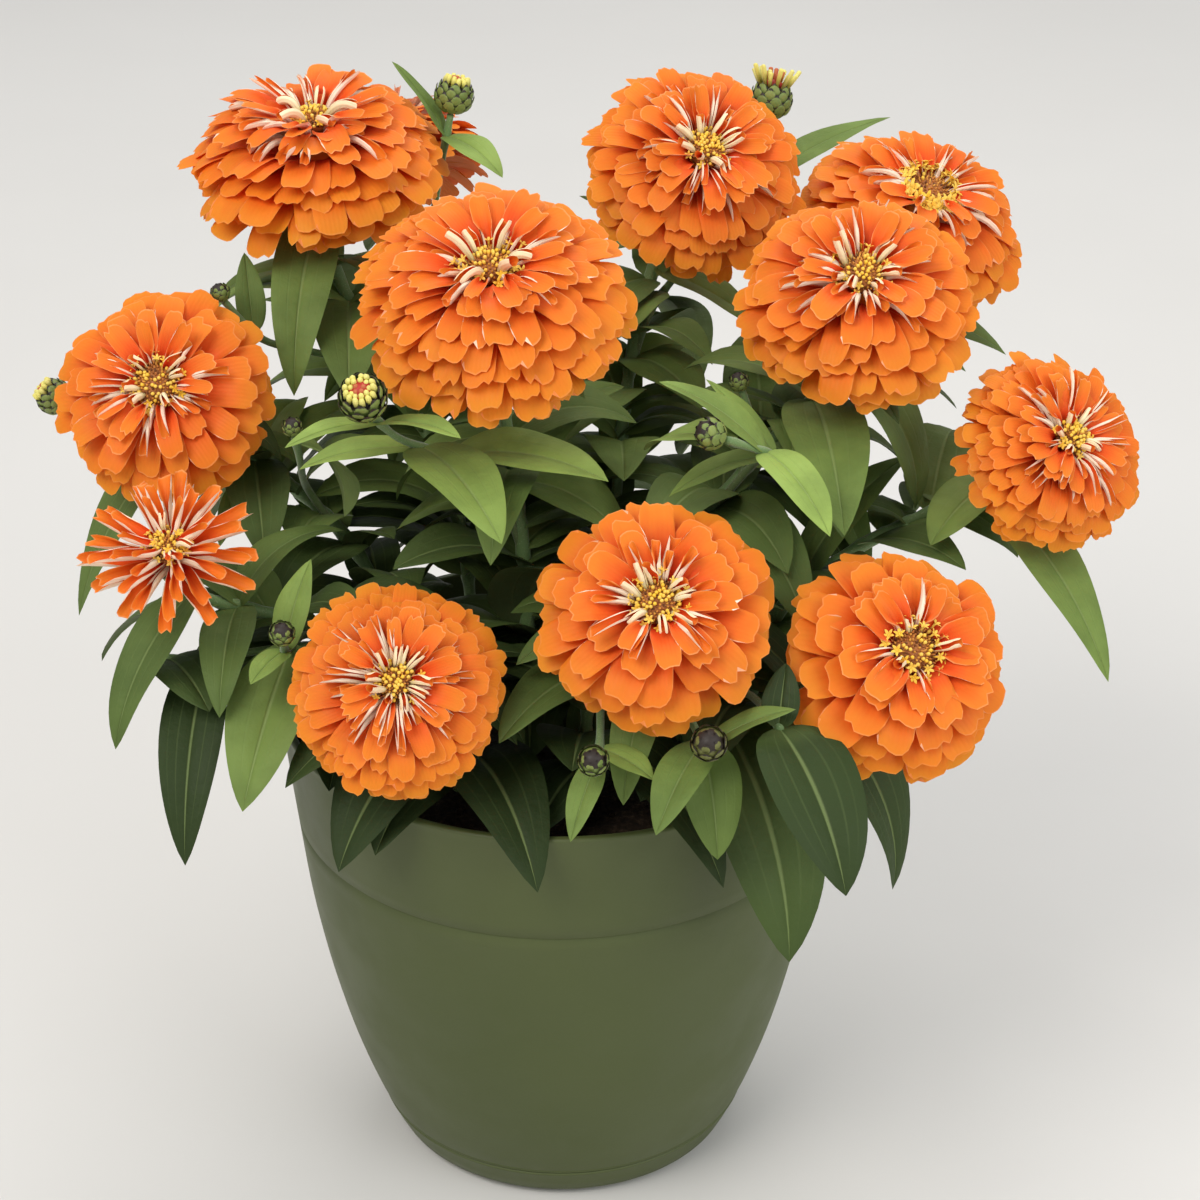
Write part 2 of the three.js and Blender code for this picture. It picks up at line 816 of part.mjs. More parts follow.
function leafSamples(leaf) {
  const samples = [];
  const along = Math.ceil(leaf.length / SAMPLE_STEP);
  for (let i = 2; i <= along; i += 1) {
    const share = i / along;
    const across = Math.max(1, Math.ceil((leaf.width * leafBreadth(share)) / 2 / SAMPLE_STEP));
    for (let j = -across; j <= across; j += 1) {
      samples.push({ point: leafPoint(leaf, share, j / across, 0) });
    }
  }
  return samples;
}

function halfway(first, second) {
  return [(first[0] + second[0]) / 2, (first[1] + second[1]) / 2];
}

function bloomSamples(bloom) {
  const radius = bloom.across / 2;
  const tiers = [UNDERSIDE, ...TIERS[bloom.kind ?? 'full']];
  const turn = new THREE.Quaternion().setFromUnitVectors(
    new THREE.Vector3(0, 0, 1),
    direction(...bloom.faces),
  );
  const base = bloomBase(bloom);
  const samples = [];
  for (const tier of tiers) {
    const between = [halfway(tier.hub, tier.mid), halfway(tier.mid, tier.tip)];
    for (const [out, up] of [tier.hub, between[0], tier.mid, between[1], tier.tip]) {
      const count = Math.ceil((2 * Math.PI * out * radius) / SAMPLE_STEP);
      for (let i = 0; i < count; i += 1) {
        const point = polar(out * radius, (i * 2 * Math.PI) / count, up * radius);
        samples.push({ point: point.applyQuaternion(turn).add(base) });
      }
    }
  }
  return samples;
}

function settled(leaf) {
  for (const size of TRIED_SIZES) {
    for (const turn of TRIED_TURNS) {
      for (const tilt of TRIED_TILTS) {
        const tried = {
          ...leaf,
          azimuth: leaf.azimuth + turn,
          pitch: leaf.pitch + tilt,
          length: leaf.length * size,
          width: leaf.width * size,
        };
        const samples = leafSamples(tried);
        const blocked = samples.some(
          ({ point }) => touchesPlanter(point, leaf.room) || touchesOthers(point, leaf),
        );
        if (!blocked) {
          occupy(samples, leaf.owner);
          return tried;
        }
      }
    }
  }
  return null;
}

// The whole plant's plan: stems first, then the leaves placed one by one, then the pairs

function planRoutes() {
  const routes = {};
  for (const [name, stem] of Object.entries(STEMS)) {
    routes[name] = Route.along(stemCurves(stem, BLOOMS[name]), STEM_STEP, FEWEST_STEPS.stem);
  }
  for (const [name, shoot] of Object.entries(SHOOTS)) {
    routes[name] = Route.along(shootCurves(shoot, routes[shoot.stem]), STEM_STEP, FEWEST_STEPS.shoot);
  }
  return routes;
}

function budded() {
  return Object.entries(SHOOTS).filter(([, shoot]) => shoot.radius);
}

function ownerOf(name) {
  return SHOOTS[name] ? String(SHOOTS[name].stem) : name;
}

function budSamples(shoot) {
  const axis = direction(...shoot.faces);
  const middle = new THREE.Vector3(...shoot.end).addScaledVector(axis, shoot.radius);
  const samples = [{ point: middle }];
  for (const way of [[1, 0, 0], [-1, 0, 0], [0, 1, 0], [0, -1, 0], [0, 0, 1], [0, 0, -1]]) {
    const point = middle.clone().addScaledVector(new THREE.Vector3(...way), shoot.radius);
    samples.push({ point });
  }
  return samples;
}

function placedLeaves(routes) {
  const leaves = [];
  for (const [name, rows] of Object.entries(LEAVES)) {
    for (const [share, azimuth, pitch, bend, length, width] of rows) {
      const place = { base: routes[name].at(share), owner: ownerOf(name), room: CLOSE_CLEARANCE };
      leaves.push(settled({ ...place, azimuth, pitch, bend, length, width, roll: 0 }));
    }
  }
  return leaves;
}

function pairedLeaves(routes) {
  const random = seeded(SEED);
  const leaves = [];
  for (const [name, stem] of Object.entries(STEMS)) {
    for (const [share, towards, length, width] of stem.pairs) {
      for (const opposite of [0, 180]) {
        const leaf = {
          base: routes[name].at(share),
          owner: name,
          room: CLEARANCE,
          azimuth: towards + opposite + PAIR_SPREAD.azimuth * (random() - 0.5),
          pitch: PAIR.pitch + PAIR_SPREAD.pitch * (random() - 0.5),
          bend: PAIR.bend + PAIR_SPREAD.bend * (random() - 0.5),
          length: length * (1 + PAIR_SPREAD.length * (random() - 0.5)),
          width,
          roll: PAIR_SPREAD.roll * (random() - 0.5),
        };
        leaves.push(settled(leaf));
      }
    }
  }
  return leaves;
}

function plantPlan() {
  const routes = planRoutes();
  for (const [name, route] of Object.entries(routes)) {
    occupy(routeSamples(route), ownerOf(name));
  }
  for (const [name, bloom] of Object.entries(BLOOMS)) {
    occupy(bloomSamples(bloom), `bloom ${name}`);
  }
  for (const [name, shoot] of budded()) {
    occupy(budSamples(shoot), `bud ${name}`);
  }
  const leaves = [...placedLeaves(routes), ...pairedLeaves(routes)].filter((leaf) => leaf);
  return { routes, leaves };
}

function leafyStemGeometry(name, plan) {
  const pieces = [tube(plan.routes[name], STEM_RADIUS), calyxGeometry(BLOOMS[name])];
  for (const [letter, shoot] of Object.entries(SHOOTS)) {
    if (String(shoot.stem) === name) {
      pieces.push(tube(plan.routes[letter], SHOOT_RADIUS));
    }
  }
  for (const leaf of plan.leaves.filter(({ owner }) => owner === name)) {
    pieces.push(leafGeometry(leaf));
  }
  return joined(pieces);
}

// Blooms: every tier is a ring of arched petals, which stand out over the tier below

function stitch(surface, lower, upper) {
  const whole = 2 * Math.PI;
  const start = upper[0].angle;
  const ahead = ({ angle }) => (((angle - start) % whole) + whole) % whole;
  const sorted = [...lower].sort((a, b) => ahead(a) - ahead(b));
  let i = 0;
  let j = 0;
  while (i < sorted.length || j < upper.length) {
    const lowerNext = i + 1 < sorted.length ? ahead(sorted[i + 1]) : whole + ahead(sorted[0]);
    const upperNext = j + 1 < upper.length ? ahead(upper[j + 1]) : whole;
    const low = sorted[i % sorted.length].id;
    const high = upper[j % upper.length].id;
    if (j >= upper.length || (i < sorted.length && lowerNext <= upperNext)) {
      surface.face(low, sorted[(i + 1) % sorted.length].id, high);
      i += 1;
    } else {
      surface.face(low, upper[(j + 1) % upper.length].id, high);
      j += 1;
    }
  }
}

function petalTier(surface, tier, radius, turn, random) {
  const spacing = (2 * Math.PI) / tier.petals;
  const hub = [];
  const edge = [];
  const corner = (out, angle, up) => ({ id: surface.point(polar(out, angle, up)), angle });
  for (let i = 0; i < tier.petals; i += 1) {
    hub.push(corner(tier.hub[0] * radius, (i - 0.5) * spacing + turn, tier.hub[1] * radius));
  }
  const part = (tier.tip[0] * SHOULDER - tier.mid[0]) / (tier.tip[0] - tier.mid[0]);
  const shoulderHeight = (tier.mid[1] + (tier.tip[1] - tier.mid[1]) * part) * radius - EDGE_DROP;
  for (let i = 0; i < tier.petals; i += 1) {
    const next = (i + 1) % tier.petals;
    const angle = i * spacing + turn;
    const half = tier.wide * spacing;
    const reach = radius * (1 + PETAL_JITTER.reach * (2 * random() - 1));
    const lift = radius * PETAL_JITTER.height * (2 * random() - 1);
    const crown = corner(tier.mid[0] * reach, angle, tier.mid[1] * radius + lift);
    const first = corner(SHOULDER * tier.tip[0] * reach, angle - half, shoulderHeight + lift);
    const tip = corner(tier.tip[0] * reach, angle, tier.tip[1] * radius + lift);
    const second = corner(SHOULDER * tier.tip[0] * reach, angle + half, shoulderHeight + lift);
    const outline = [hub[i], first, tip, second, hub[next]];
    for (let k = 0; k < outline.length; k += 1) {
      surface.face(crown.id, outline[k].id, outline[(k + 1) % outline.length].id);
    }
    edge.push(hub[i], first, tip, second);
  }
  return { hub, edge };
}

function petalsGeometry(name, bloom) {
  const surface = new Surface();
  const radius = bloom.across / 2;
  const random = seeded(SEED + 100 * Number(name));
  const tiers = TIERS[bloom.kind ?? 'full'];
  let below = [];
  for (let i = 0; i < BLOOM_FOOT.sides; i += 1) {
    const angle = (i * 2 * Math.PI) / BLOOM_FOOT.sides;
    below.push({ id: surface.point(polar(BLOOM_FOOT.share * radius, angle, 0)), angle });
  }
  const foot = surface.point(new THREE.Vector3(0, 0, 0));
  surface.cap(below.map(({ id }) => id), foot, false);
  tiers.forEach((tier, i) => {
    const { hub, edge } = petalTier(surface, tier, radius, (i * Math.PI) / tier.petals, random);
    stitch(surface, below, edge);
    below = hub;
  });
  const seat = surface.point(new THREE.Vector3(0, 0, discSeat(bloom)));
  surface.cap(below.map(({ id }) => id), seat, true);
  return turnedTo(surface.geometry(), direction(...bloom.faces), bloomBase(bloom));
}

function discSeat(bloom) {
  const tiers = TIERS[bloom.kind ?? 'full'];
  return (tiers[tiers.length - 1].hub[1] * bloom.across) / 2;
}

function floretDome(radius, rise, floretRise, count) {
  const surface = new Surface();
  const rim = [];
  const crest = [];
  for (let i = 0; i < 2 * count; i += 1) {
    const angle = (i * Math.PI) / count;
    const raised = i % 2 === 0;
    const [out, up] = raised ? [radius, rise + floretRise] : [radius * FLORET.dip, rise];
    rim.push(surface.point(polar(radius * FLORET.foot, angle, 0)));
    crest.push(surface.point(polar(out, angle, up)));
  }
  surface.ringStrip(rim, crest);
  surface.cap(rim, surface.point(new THREE.Vector3(0, 0, 0)), false);
  surface.cap(crest, surface.point(new THREE.Vector3(0, 0, rise * FLORET.middle)), true);
  return surface.geometry();
}

function discGeometry(bloom) {
  const radius = bloom.across / 2;
  const dome = floretDome(DISC.share * radius, DISC.rise * radius, DISC.floretRise * radius, DISC.florets);
  dome.translate(0, 0, discSeat(bloom) + GAP);
  return turnedTo(dome, direction(...bloom.faces), bloomBase(bloom));
}

// Buds: rows of scales whose tips stand over the row above

function budGeometry(shoot) {
  const kind = shoot.crown ? 'large' : 'small';
  const count = SCALES[kind];
  const surface = new Surface();
  const ring = ([out, up], turn, zigzag) => {
    const ids = [];
    for (let i = 0; i < 2 * count; i += 1) {
      const swing = ((i + turn) % 2 === 0 ? zigzag : -zigzag) * shoot.radius;
      ids.push(surface.point(polar(out * shoot.radius, (i * Math.PI) / count, up * shoot.radius + swing)));
    }
    return ids;
  };
  let previous = null;
  BUD_ROWS[kind].forEach((row, i) => {
    const low = ring(row.low, i, previous ? -SCALE_ZIGZAG.low : 0);
    const tip = ring(row.tip, i, SCALE_ZIGZAG.tip);
    if (previous) {
      surface.ringStrip(previous, low);
    } else {
      surface.cap(low, surface.point(new THREE.Vector3(0, 0, 0)), false);
    }
    surface.ringStrip(low, tip);
    previous = tip;
  });
  surface.cap(previous, surface.point(new THREE.Vector3(0, 0, BUD_TOP[kind] * shoot.radius)), true);
  const axis = direction(...shoot.faces);
  return turnedTo(surface.geometry(), axis, new THREE.Vector3(...shoot.end).addScaledVector(axis, GAP));
}

function crownGeometry(shoot) {
  const { radius } = shoot;
  const { share, rise, floretRise, florets } = CROWN;
  const dome = floretDome(share * radius, rise * radius, floretRise * radius, florets);
  const axis = direction(...shoot.faces);
  dome.translate(0, 0, CROWN.seat * radius + 2 * GAP);
  return turnedTo(dome, axis, new THREE.Vector3(...shoot.end));
}

// Materials

function finish(colour, roughness) {
  return new THREE.MeshStandardMaterial({ color: colour, roughness, metalness: 0 });
}

const plastic = () => finish(0x5d6a44, 0.5);
const earth = () => finish(0x2b2019, 0.95);
const foliage = () => finish(0x3f5c31, 0.55);
const orangePetals = () => finish(0xf06a1e, 0.6);
const yellowFlorets = () => finish(0xe2b23a, 0.6);
const greenScales = () => finish(0x6f7f3a, 0.6);

const group = new THREE.Group();

function addPart(name, geometry, material) {
  const mesh = new THREE.Mesh(geometry, material);
  mesh.name = name;
  group.add(mesh);
}

addPart('saucer', saucerGeometry(), plastic());
addPart('pot', potGeometry(), plastic());
addPart('soil', soilGeometry(), earth());

const plan = plantPlan();
for (const name of Object.keys(STEMS)) {
  addPart(`leafy_stem_${name}`, leafyStemGeometry(name, plan), foliage());
}
for (const [name, bloom] of Object.entries(BLOOMS)) {
  addPart(`bloom_petals_${name}`, petalsGeometry(name, bloom), orangePetals());
  addPart(`bloom_disc_${name}`, discGeometry(bloom), yellowFlorets());
}
for (const [letter, shoot] of budded()) {
  addPart(`bud_${letter}`, budGeometry(shoot), greenScales());
  if (shoot.crown) {
    addPart(`bud_crown_${letter}`, crownGeometry(shoot), yellowFlorets());
  }
}

export default group;
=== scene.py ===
# A potted zinnia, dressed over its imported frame: a smooth planter and saucer, potting mix, hairy
# stems with veined leaves, double orange blooms petal by petal, star florets and scaly buds.
# The plan and the shapes are worked out in millimetres, +Z up, and the meshes are made in metres.

import functools
import itertools
import math

import bpy
import numpy as np
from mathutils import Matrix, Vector, noise


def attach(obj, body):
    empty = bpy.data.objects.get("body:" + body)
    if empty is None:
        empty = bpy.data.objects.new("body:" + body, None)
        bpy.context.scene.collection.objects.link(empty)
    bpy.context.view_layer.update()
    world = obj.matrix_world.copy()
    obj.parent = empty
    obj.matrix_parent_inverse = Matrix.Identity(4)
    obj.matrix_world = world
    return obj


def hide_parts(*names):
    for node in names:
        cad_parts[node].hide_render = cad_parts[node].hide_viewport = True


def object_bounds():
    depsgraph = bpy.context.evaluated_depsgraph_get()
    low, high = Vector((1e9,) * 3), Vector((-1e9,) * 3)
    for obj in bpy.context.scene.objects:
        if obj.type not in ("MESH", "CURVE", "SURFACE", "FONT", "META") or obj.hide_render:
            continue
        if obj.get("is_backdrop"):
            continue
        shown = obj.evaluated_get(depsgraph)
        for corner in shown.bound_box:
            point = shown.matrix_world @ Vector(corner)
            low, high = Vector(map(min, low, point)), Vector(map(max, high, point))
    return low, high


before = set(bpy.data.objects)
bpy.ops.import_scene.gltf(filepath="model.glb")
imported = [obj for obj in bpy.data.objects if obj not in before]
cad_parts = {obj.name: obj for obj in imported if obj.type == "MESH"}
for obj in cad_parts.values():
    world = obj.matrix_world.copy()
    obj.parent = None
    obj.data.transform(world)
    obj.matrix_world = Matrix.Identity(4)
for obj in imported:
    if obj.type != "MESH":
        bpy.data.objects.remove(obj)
cad_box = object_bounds()

MM = 0.001
UP = np.array([0, 0, 1.0])


def named(fields, rows):
    """A table's rows as dictionaries, whose fields are named once."""
    return {key: dict(zip(fields, row)) for key, row in rows.items()}


# Camera, as found from the planter's rim, groove line and foot in the photograph, and the lights
# as place, size, power and colour

CAMERA_PLACE = (0.0181, -1.1129, 0.8624)
CAMERA_PITCH = 27.97
CAMERA_LENS = 84.6
CAMERA_SENSOR = 36.0
LIGHTS_AIM = (0, 0, 0.3)
LIGHTS = {
    "key": ((-1.3, -1.5, 2.5), 1.8, 53, (1.0, 0.97, 0.93)),
    "fill": ((1.9, -1.5, 1.5), 2.0, 29, (0.96, 0.98, 1.0)),
    "top": ((0.3, 1.3, 2.6), 2.0, 33, (1.0, 0.99, 0.97)),
}
WORLD_COLOUR = (0.8, 0.82, 0.84, 1)
WORLD_STRENGTH = 0.7
FLOOR_HALF = 6.0

# Planter

POT_HEIGHT = 226
RIM_RADIUS = 127
OUTLINE = [
    (0, 79.3),
    (18.3, 87.8),
    (49, 98.8),
    (87.4, 108.8),
    (128.8, 116.5),
    (171.8, 121.5),
    (POT_HEIGHT, RIM_RADIUS),
]
HEIGHTS, RADII = zip(*OUTLINE)
WALL = 3.2
GAP = 0.3
SAUCER_HEIGHT = 18.3
SAUCER_WALL = 2.6
SAUCER_FLOOR = 2.6
SAUCER_FOOT_INSET = 3
SAUCER_CROWN = 0.4
SAUCER_EDGES = (0.9, 0.8, 2.4)
REST_RING = {"inner": 60, "outer": 66, "top": 5}
FOOT_RADIUS = 75
FOOT_TOP_RADIUS = 82
POT_FLOOR = 3.4
GROOVE = {"height": 171.8, "depth": 0.8, "half": 0.9}
RIM_LIP = 4
RIM_ROUND = 1.4
DRAIN = {"count": 4, "radius": 6, "circle": 38, "sides": 24}
ROUND_SIDES = 144
OUTLINE_STEP = 6
SOIL_TOP = 204
SOIL_MOUND = 5
MOUND_SHARE = 0.75
LUMP_LENGTH = 9.0
LUMP_HEIGHT = 0.9
SOIL_EDGE_GAP = 1.2
SOIL_RINGS = 44
SOIL_SIDES = 120
SOIL_SIDE_HEIGHTS = (49, 87.4, 171.8)
CRUMBS = 520
CRUMB_SIZE = (0.7, 1.6)

# Plant: the same dimensions and tables as the solids are made from

STEM_RADIUS = 2.7
SHOOT_RADIUS = 1.8
STEM_STEP = 40
FEWEST_STEPS = {"stem": 7, "shoot": 4}
STRAIGHT_ROOT = 60
ROUTE_STEPS = 60
HOLE_DEPTH = 28
CALYX_STEM_END = 5
FOLD = 14
LEAF_FIELDS = ("share", "azimuth", "pitch", "bend", "length", "width", "roll")
PAIR = {"pitch": 38, "bend": 84, "spread": (16, 20, 30, 0.2, 24), "room": 6, "plain": False}
CLOSE_CLEARANCE = 3.5
SAMPLE_STEP = 5
OWN_ROOM = 15
SEED = 20
DISC_HEIGHT_SHARE = 0.52
SHOOT_SET_BACK = 0.6
SHOOT_LEAD = 0.4

# Sizes that a leaf tries until it has room, and its turns and tilts, by whether the leaf is plain

TRIED_SIZES = (1, 0.8, 0.62)
TRIED_WAYS = {
    False: ((0, 8, -8, 16, -16, 28, -28, 42, -42, 60, -60), (0, 8, -8, 16, -16, 28)),
    True: ((0, 12, -12, 28, -28, 50, -50), (0, 12, -12, 24)),
}

BLOOMS = named(("disc", "faces", "across", "kind"), {
    "1": ((-110, 100, 462), (270, 80), 118),
    "2": ((-27, -20, 439), (268, 66), 117),
    "3": ((66, 100, 448), (290, 48), 102),
    "4": ((130, 15, 422), (270, 60), 104),
    "5": ((170, 125, 419), (305, 62), 106),
    "6": ((-172, -5, 379), (262, 40), 98),
    "7": ((-159, -85, 344), (266, 58), 74, "young"),
    "8": ((221, -10, 356), (302, 42), 88),
    "9": ((-64, -125, 301), (276, 42), 88),
    "10": ((41, -115, 332), (270, 46), 100),
    "11": ((146, -110, 307), (292, 44), 100),
    "12": ((-82, 208, 424), (95, 52), 90),
})

# The solids' tiers, from the lowest up: the hub, middle and tip of a petal, each given as its
# distance from the axis and its height, in shares of the bloom's radius

TIERS = {
    "full": [
        ((0.5, -0.05), (0.74, -0.02), (0.93, -0.2)),
        ((0.5, 0.16), (0.78, 0.22), (1, 0.07)),
        ((0.4, 0.33), (0.62, 0.42), (0.86, 0.31)),
        ((0.26, 0.5), (0.42, 0.59), (0.64, 0.53)),
        ((0.18, 0.42), (0.26, 0.63), (0.42, 0.74)),
    ],
    "young": [
        ((0.2, 0.08), (0.6, 0.17), (1, 0.13)),
        ((0.19, 0.22), (0.5, 0.42), (0.84, 0.5)),
        ((0.16, 0.34), (0.3, 0.58), (0.48, 0.78)),
    ],
}
UNDERSIDE = ((0.2, 0), (0.35, -0.02), (0.6, -0.08))

STEMS = named(("root", "rise", "reach", "pairs"), {
    "1": ((-42, 46), 120, 90, [(0.34, 20, 88, 38), (0.52, 110, 88, 36), (0.7, 30, 78, 30),
        (0.86, 120, 58, 20)]),
    "2": ((-14, -12), 110, 80, [(0.3, 330, 84, 40), (0.5, 150, 84, 36), (0.67, 50, 78, 30),
        (0.85, 140, 58, 20)]),
    "3": ((24, 42), 120, 90, [(0.34, 80, 84, 36), (0.52, 170, 84, 34), (0.7, 90, 74, 28),
        (0.86, 10, 52, 18)]),
    "4": ((46, 4), 100, 80, [(0.34, 30, 84, 38), (0.52, 120, 84, 36), (0.7, 20, 78, 30),
        (0.86, 110, 56, 20)]),
    "5": ((72, 48), 90, 90, [(0.34, 0, 84, 36), (0.52, 90, 88, 36), (0.7, 0, 78, 30), (0.87, 90, 54, 20)]),
    "6": ((-76, 10), 80, 80, [(0.34, 10, 88, 38), (0.52, 100, 88, 36), (0.7, 10, 74, 28),
        (0.87, 100, 52, 20)]),
    "7": ((-84, -34), 60, 50, [(0.32, 70, 84, 38), (0.56, 160, 84, 34), (0.77, 70, 64, 24)]),
    "8": ((88, -4), 60, 80, [(0.36, 100, 88, 38), (0.56, 10, 88, 36), (0.77, 100, 66, 26)]),
    "9": ((-44, -56), 50, 50, [(0.42, 20, 84, 38), (0.7, 120, 70, 28)]),
    "10": ((12, -62), 60, 50, [(0.34, 350, 80, 38), (0.68, 90, 70, 28)]),
    "11": ((64, -54), 22, 56, [(0.42, 40, 80, 36), (0.68, 150, 72, 30)]),
    "12": ((-20, 88), 100, 80, [(0.34, 30, 88, 38), (0.5, 120, 88, 36), (0.67, 30, 78, 30),
        (0.85, 120, 54, 20)]),
})

SHOOTS = named(("stem", "share", "end", "faces", "radius", "crown"), {
    "a": ("12", 0.62, (-50, 128, 455), (40, 75), 9, 1),
    "b": ("3", 0.62, (97, 166, 440), (60, 70), 10, 1),
    "c": ("2", 0.52, (-77, -62, 393), (262, 50), 10, 1),
    "d": ("4", 0.55, (69, -60, 378), (185, 25), 7),
    "e": ("10", 0.55, (16, -142, 272), (262, 45), 6.5),
    "f": ("10", 0.72, (62, -140, 278), (265, 50), 7.5),
    "g": ("7", 0.5, (-112, -100, 306), (275, 60), 5.5),
    "h": ("6", 0.66, (-218, 32, 352), (185, 40), 8, 1),
    "i": ("6", 0.55, (-112, -20, 362), (250, 70), 4.5),
    "j": ("1", 0.6, (-147, 42, 398), (200, 70), 4.5),
    "k": ("4", 0.6, (80, 18, 366), (200, 70), 4.5),
    "m": ("7", 0.38, (-168, -62, 276), (190, 10)),
    "n": ("11", 0.4, (91, -128, 280), (275, 20)),
})

# Leaves placed one by one: share of the way, azimuth, pitch, bend, length, width

LEAVES = {
    "1": [(0.8, 274, 21, 60, 87, 36), (0.55, 160, 62, 60, 81, 36), (0.7, 188, 50, 50, 73, 22),
        (0.84, 190, 30, 70, 60, 26)],
    "2": [(0.25, 272, 23, 60, 57, 40), (0.34, 233, 55, 60, 74, 42), (0.38, 288, 48, 60, 74, 42),
        (0.5, 219, 38, 60, 76, 40), (0.62, 166, -7, 60, 64, 40), (0.66, 340, 10, 70, 64, 36)],
    "3": [(0.5, 271, 37, 60, 80, 36), (0.6, 253, 4, 60, 69, 36), (0.66, 308, 13, 60, 54, 34),
        (0.7, 307, 45, 80, 62, 24), (0.78, 249, 20, 60, 48, 34), (0.84, 199, 56, 30, 52, 20)],
    "4": [(0.8, 274, 16, 50, 108, 38), (0.5, 305, 9, 60, 50, 38), (0.76, 286, 5, 60, 74, 27),
        (0.76, 225, 42, 40, 50, 20)],
    "5": [(0.8, 346, 11, 50, 62, 28)],
    "6": [(0.5, 245, 30, 60, 70, 34), (0.57, 255, 11, 60, 44, 34), (0.9, 229, -7, 50, 104, 26),
        (0.75, 279, 29, 50, 76, 30)],
    "7": [(0.3, 259, 29, 60, 68, 36), (0.45, 217, 29, 60, 60, 36), (0.9, 234, -15, 60, 78, 25)],
    "8": [(0.45, 25, 70, 50, 80, 30), (0.5, 289, 23, 60, 58, 38), (0.6, 316, 29, 60, 60, 30),
        (0.85, 306, -10, 50, 108, 30), (0.88, 229, 10, 50, 52, 30)],
    "9": [(0.34, 292, 49, 95, 110, 42), (0.46, 238, 6, 80, 100, 46), (0.3, 262, 40, 80, 84, 38),
        (0.62, 232, 32, 50, 90, 34)],
    "10": [(0.35, 304, 42, 100, 117, 36), (0.3, 239, 42, 60, 57, 36), (0.4, 264, 17, 60, 56, 40),
        (0.62, 233, 25, 55, 72, 30), (0.5, 177, 70, 60, 54, 36)],
    "11": [(0.42, 290, 8, 95, 128, 54), (0.3, 240, 36, 60, 61, 36), (0.5, 254, 6, 60, 76, 36),
        (0.66, 326, -18, 80, 104, 40)],
    "12": [(0.6, 223, -7, 60, 60, 36)],
    "n": [(0.97, 294, -6, 60, 79, 42), (0.97, 120, 45, 40, 44, 26)],
    "a": [(0.9, 309, 9, 40, 44, 19), (0.9, 165, 55, 20, 42, 14)],
    "b": [(0.7, 31, 32, 30, 96, 23)],
    "c": [(0.5, 340, 23, 45, 76, 40), (0.58, 200, 20, 40, 58, 22), (0.62, 290, -2, 45, 80, 34),
        (0.86, 223, 28, 30, 50, 15), (0.86, 356, 42, 30, 52, 17)],
    "d": [(0.55, 154, 51, 20, 44, 14), (0.55, 189, 0, 40, 50, 20), (0.8, 295, 9, 45, 60, 22),
        (0.8, 167, 43, 40, 54, 23)],
    "e": [(0.7, 311, 15, 30, 34, 16), (0.85, 250, -18, 30, 38, 14)],
    "f": [(0.3, 291, -9, 75, 105, 36), (0.8, 237, 7, 40, 51, 22), (0.8, 290, -11, 55, 50, 26),
        (0.9, 30, 59, 35, 40, 17)],
    "g": [(0.8, 60, 72, 30, 40, 17), (0.8, 245, 11, 30, 28, 14)],
    "j": [(0.8, 104, 80, 20, 36, 14)],
    "m": [(0.8, 265, -2, 80, 100, 28), (0.98, 300, 20, 50, 46, 30)],
}

# More leaves of the same kind, which only this dressing has

MORE_LEAVES = {
    "1": [(0.88, 88, -20, 85, 105, 32), (0.94, 264, 8, 85, 105, 30)],
    "3": [(0.82, 344, -13, 25, 60, 30)],
    "4": [(0.88, 328, -13, 85, 80, 36)],
    "b": [(0.31, 72, -20, 55, 105, 28)],
    "d": [(0.94, 144, 8, 55, 50, 26)],
    "g": [(0.52, 256, -20, 25, 80, 36)],
    "i": [(0.91, 32, -20, 85, 50, 30)],
    "m": [(0.43, 184, -13, 25, 50, 38)],
}

# Leaves that fill the middle of the bush: two at each share of a stem, each pair a quarter turned.
# A leaf is made where its end lies behind a place and under a height

FILLER_SHARES = (0.3, 0.4, 0.48, 0.57, 0.64, 0.74, 0.8, 0.35, 0.53, 0.69)
FILLER_LENGTH = 72
FILLER_WIDTH = 34
FILLER = {"pitch": 34, "bend": 84, "spread": (40, 30, 30, 0.3, 24), "room": 3, "plain": True}
FILLER_BOUNDS = [{"behind": -60, "under": 400}, {"behind": -95, "under": 300}]

# Looks of the plant: how young each shoot's leaves are, where the low shoots m and n are also darkened as
# painted shade, how many stations a leaf has and its shares across, by whether it is plain, and the
# measures of leaves, stems and petals

SHOOT_YOUTH_AND_SHADE = {
    "a": 0.6, "b": 0.6, "c": 0.85, "d": 0.75, "e": 0.6, "f": 0.5, "g": 0.55, "h": 0.5, "i": 0.5,
    "j": 0.4, "k": 0.5, "m": 0.12, "n": 0.06,
}
LEAF_GRIDS = {
    False: (20, (-1, -0.86, -0.66, -0.46, -0.24, -0.07, 0, 0.07, 0.24, 0.46, 0.66, 0.86, 1)),
    True: (14, (-1, -0.7, -0.35, -0.08, 0, 0.08, 0.35, 0.7, 1)),
}
FOLIAGE_SLOTS = {"leaf": 0, "stem": 2, "scale": 4}
LEAF_THICKNESS = 0.45
LEAF_WAVE = 1.1
LEAF_GROOVE = 0.45
LEAF_HOLLOW = 0.05
BROAD_LEAF = 34
# Leaves are darker the lower they start: partly their age, partly painted shade under the blooms
YOUTH_AND_SHADE_BY_HEIGHT = ((225, 275, 330), (0.0, 0.2, 0.46))
YOUTH_SPREAD = 0.16
TOP_LEAF = {"above": 0.8, "slimmer": 24, "youth_and_shade": 0.35, "spread": 0.25}
STEM_ROUND = 12
STEM_PIECE = 4.0
STEM_TAPER = 0.12
KNOT_SWELL = 0.35
KNOT_LENGTH = 4
CUP_SHARE = 0.17
PETAL_ACROSS = 9
PETAL_ALONG = 10
PETAL_THICKNESS = 0.35
PETAL_BLUNT = 2.6
PETAL_NOTCH = 0.065
STROKE = {"from": 2.4, "slim": 0.8, "short": 0.84, "curls": (2.9, 2.2, 0.9)}
PETAL_SPREAD = {"droop": 0.1, "length": 0.13, "curl": 0.9, "roll": 0.4, "sway": 0.1}
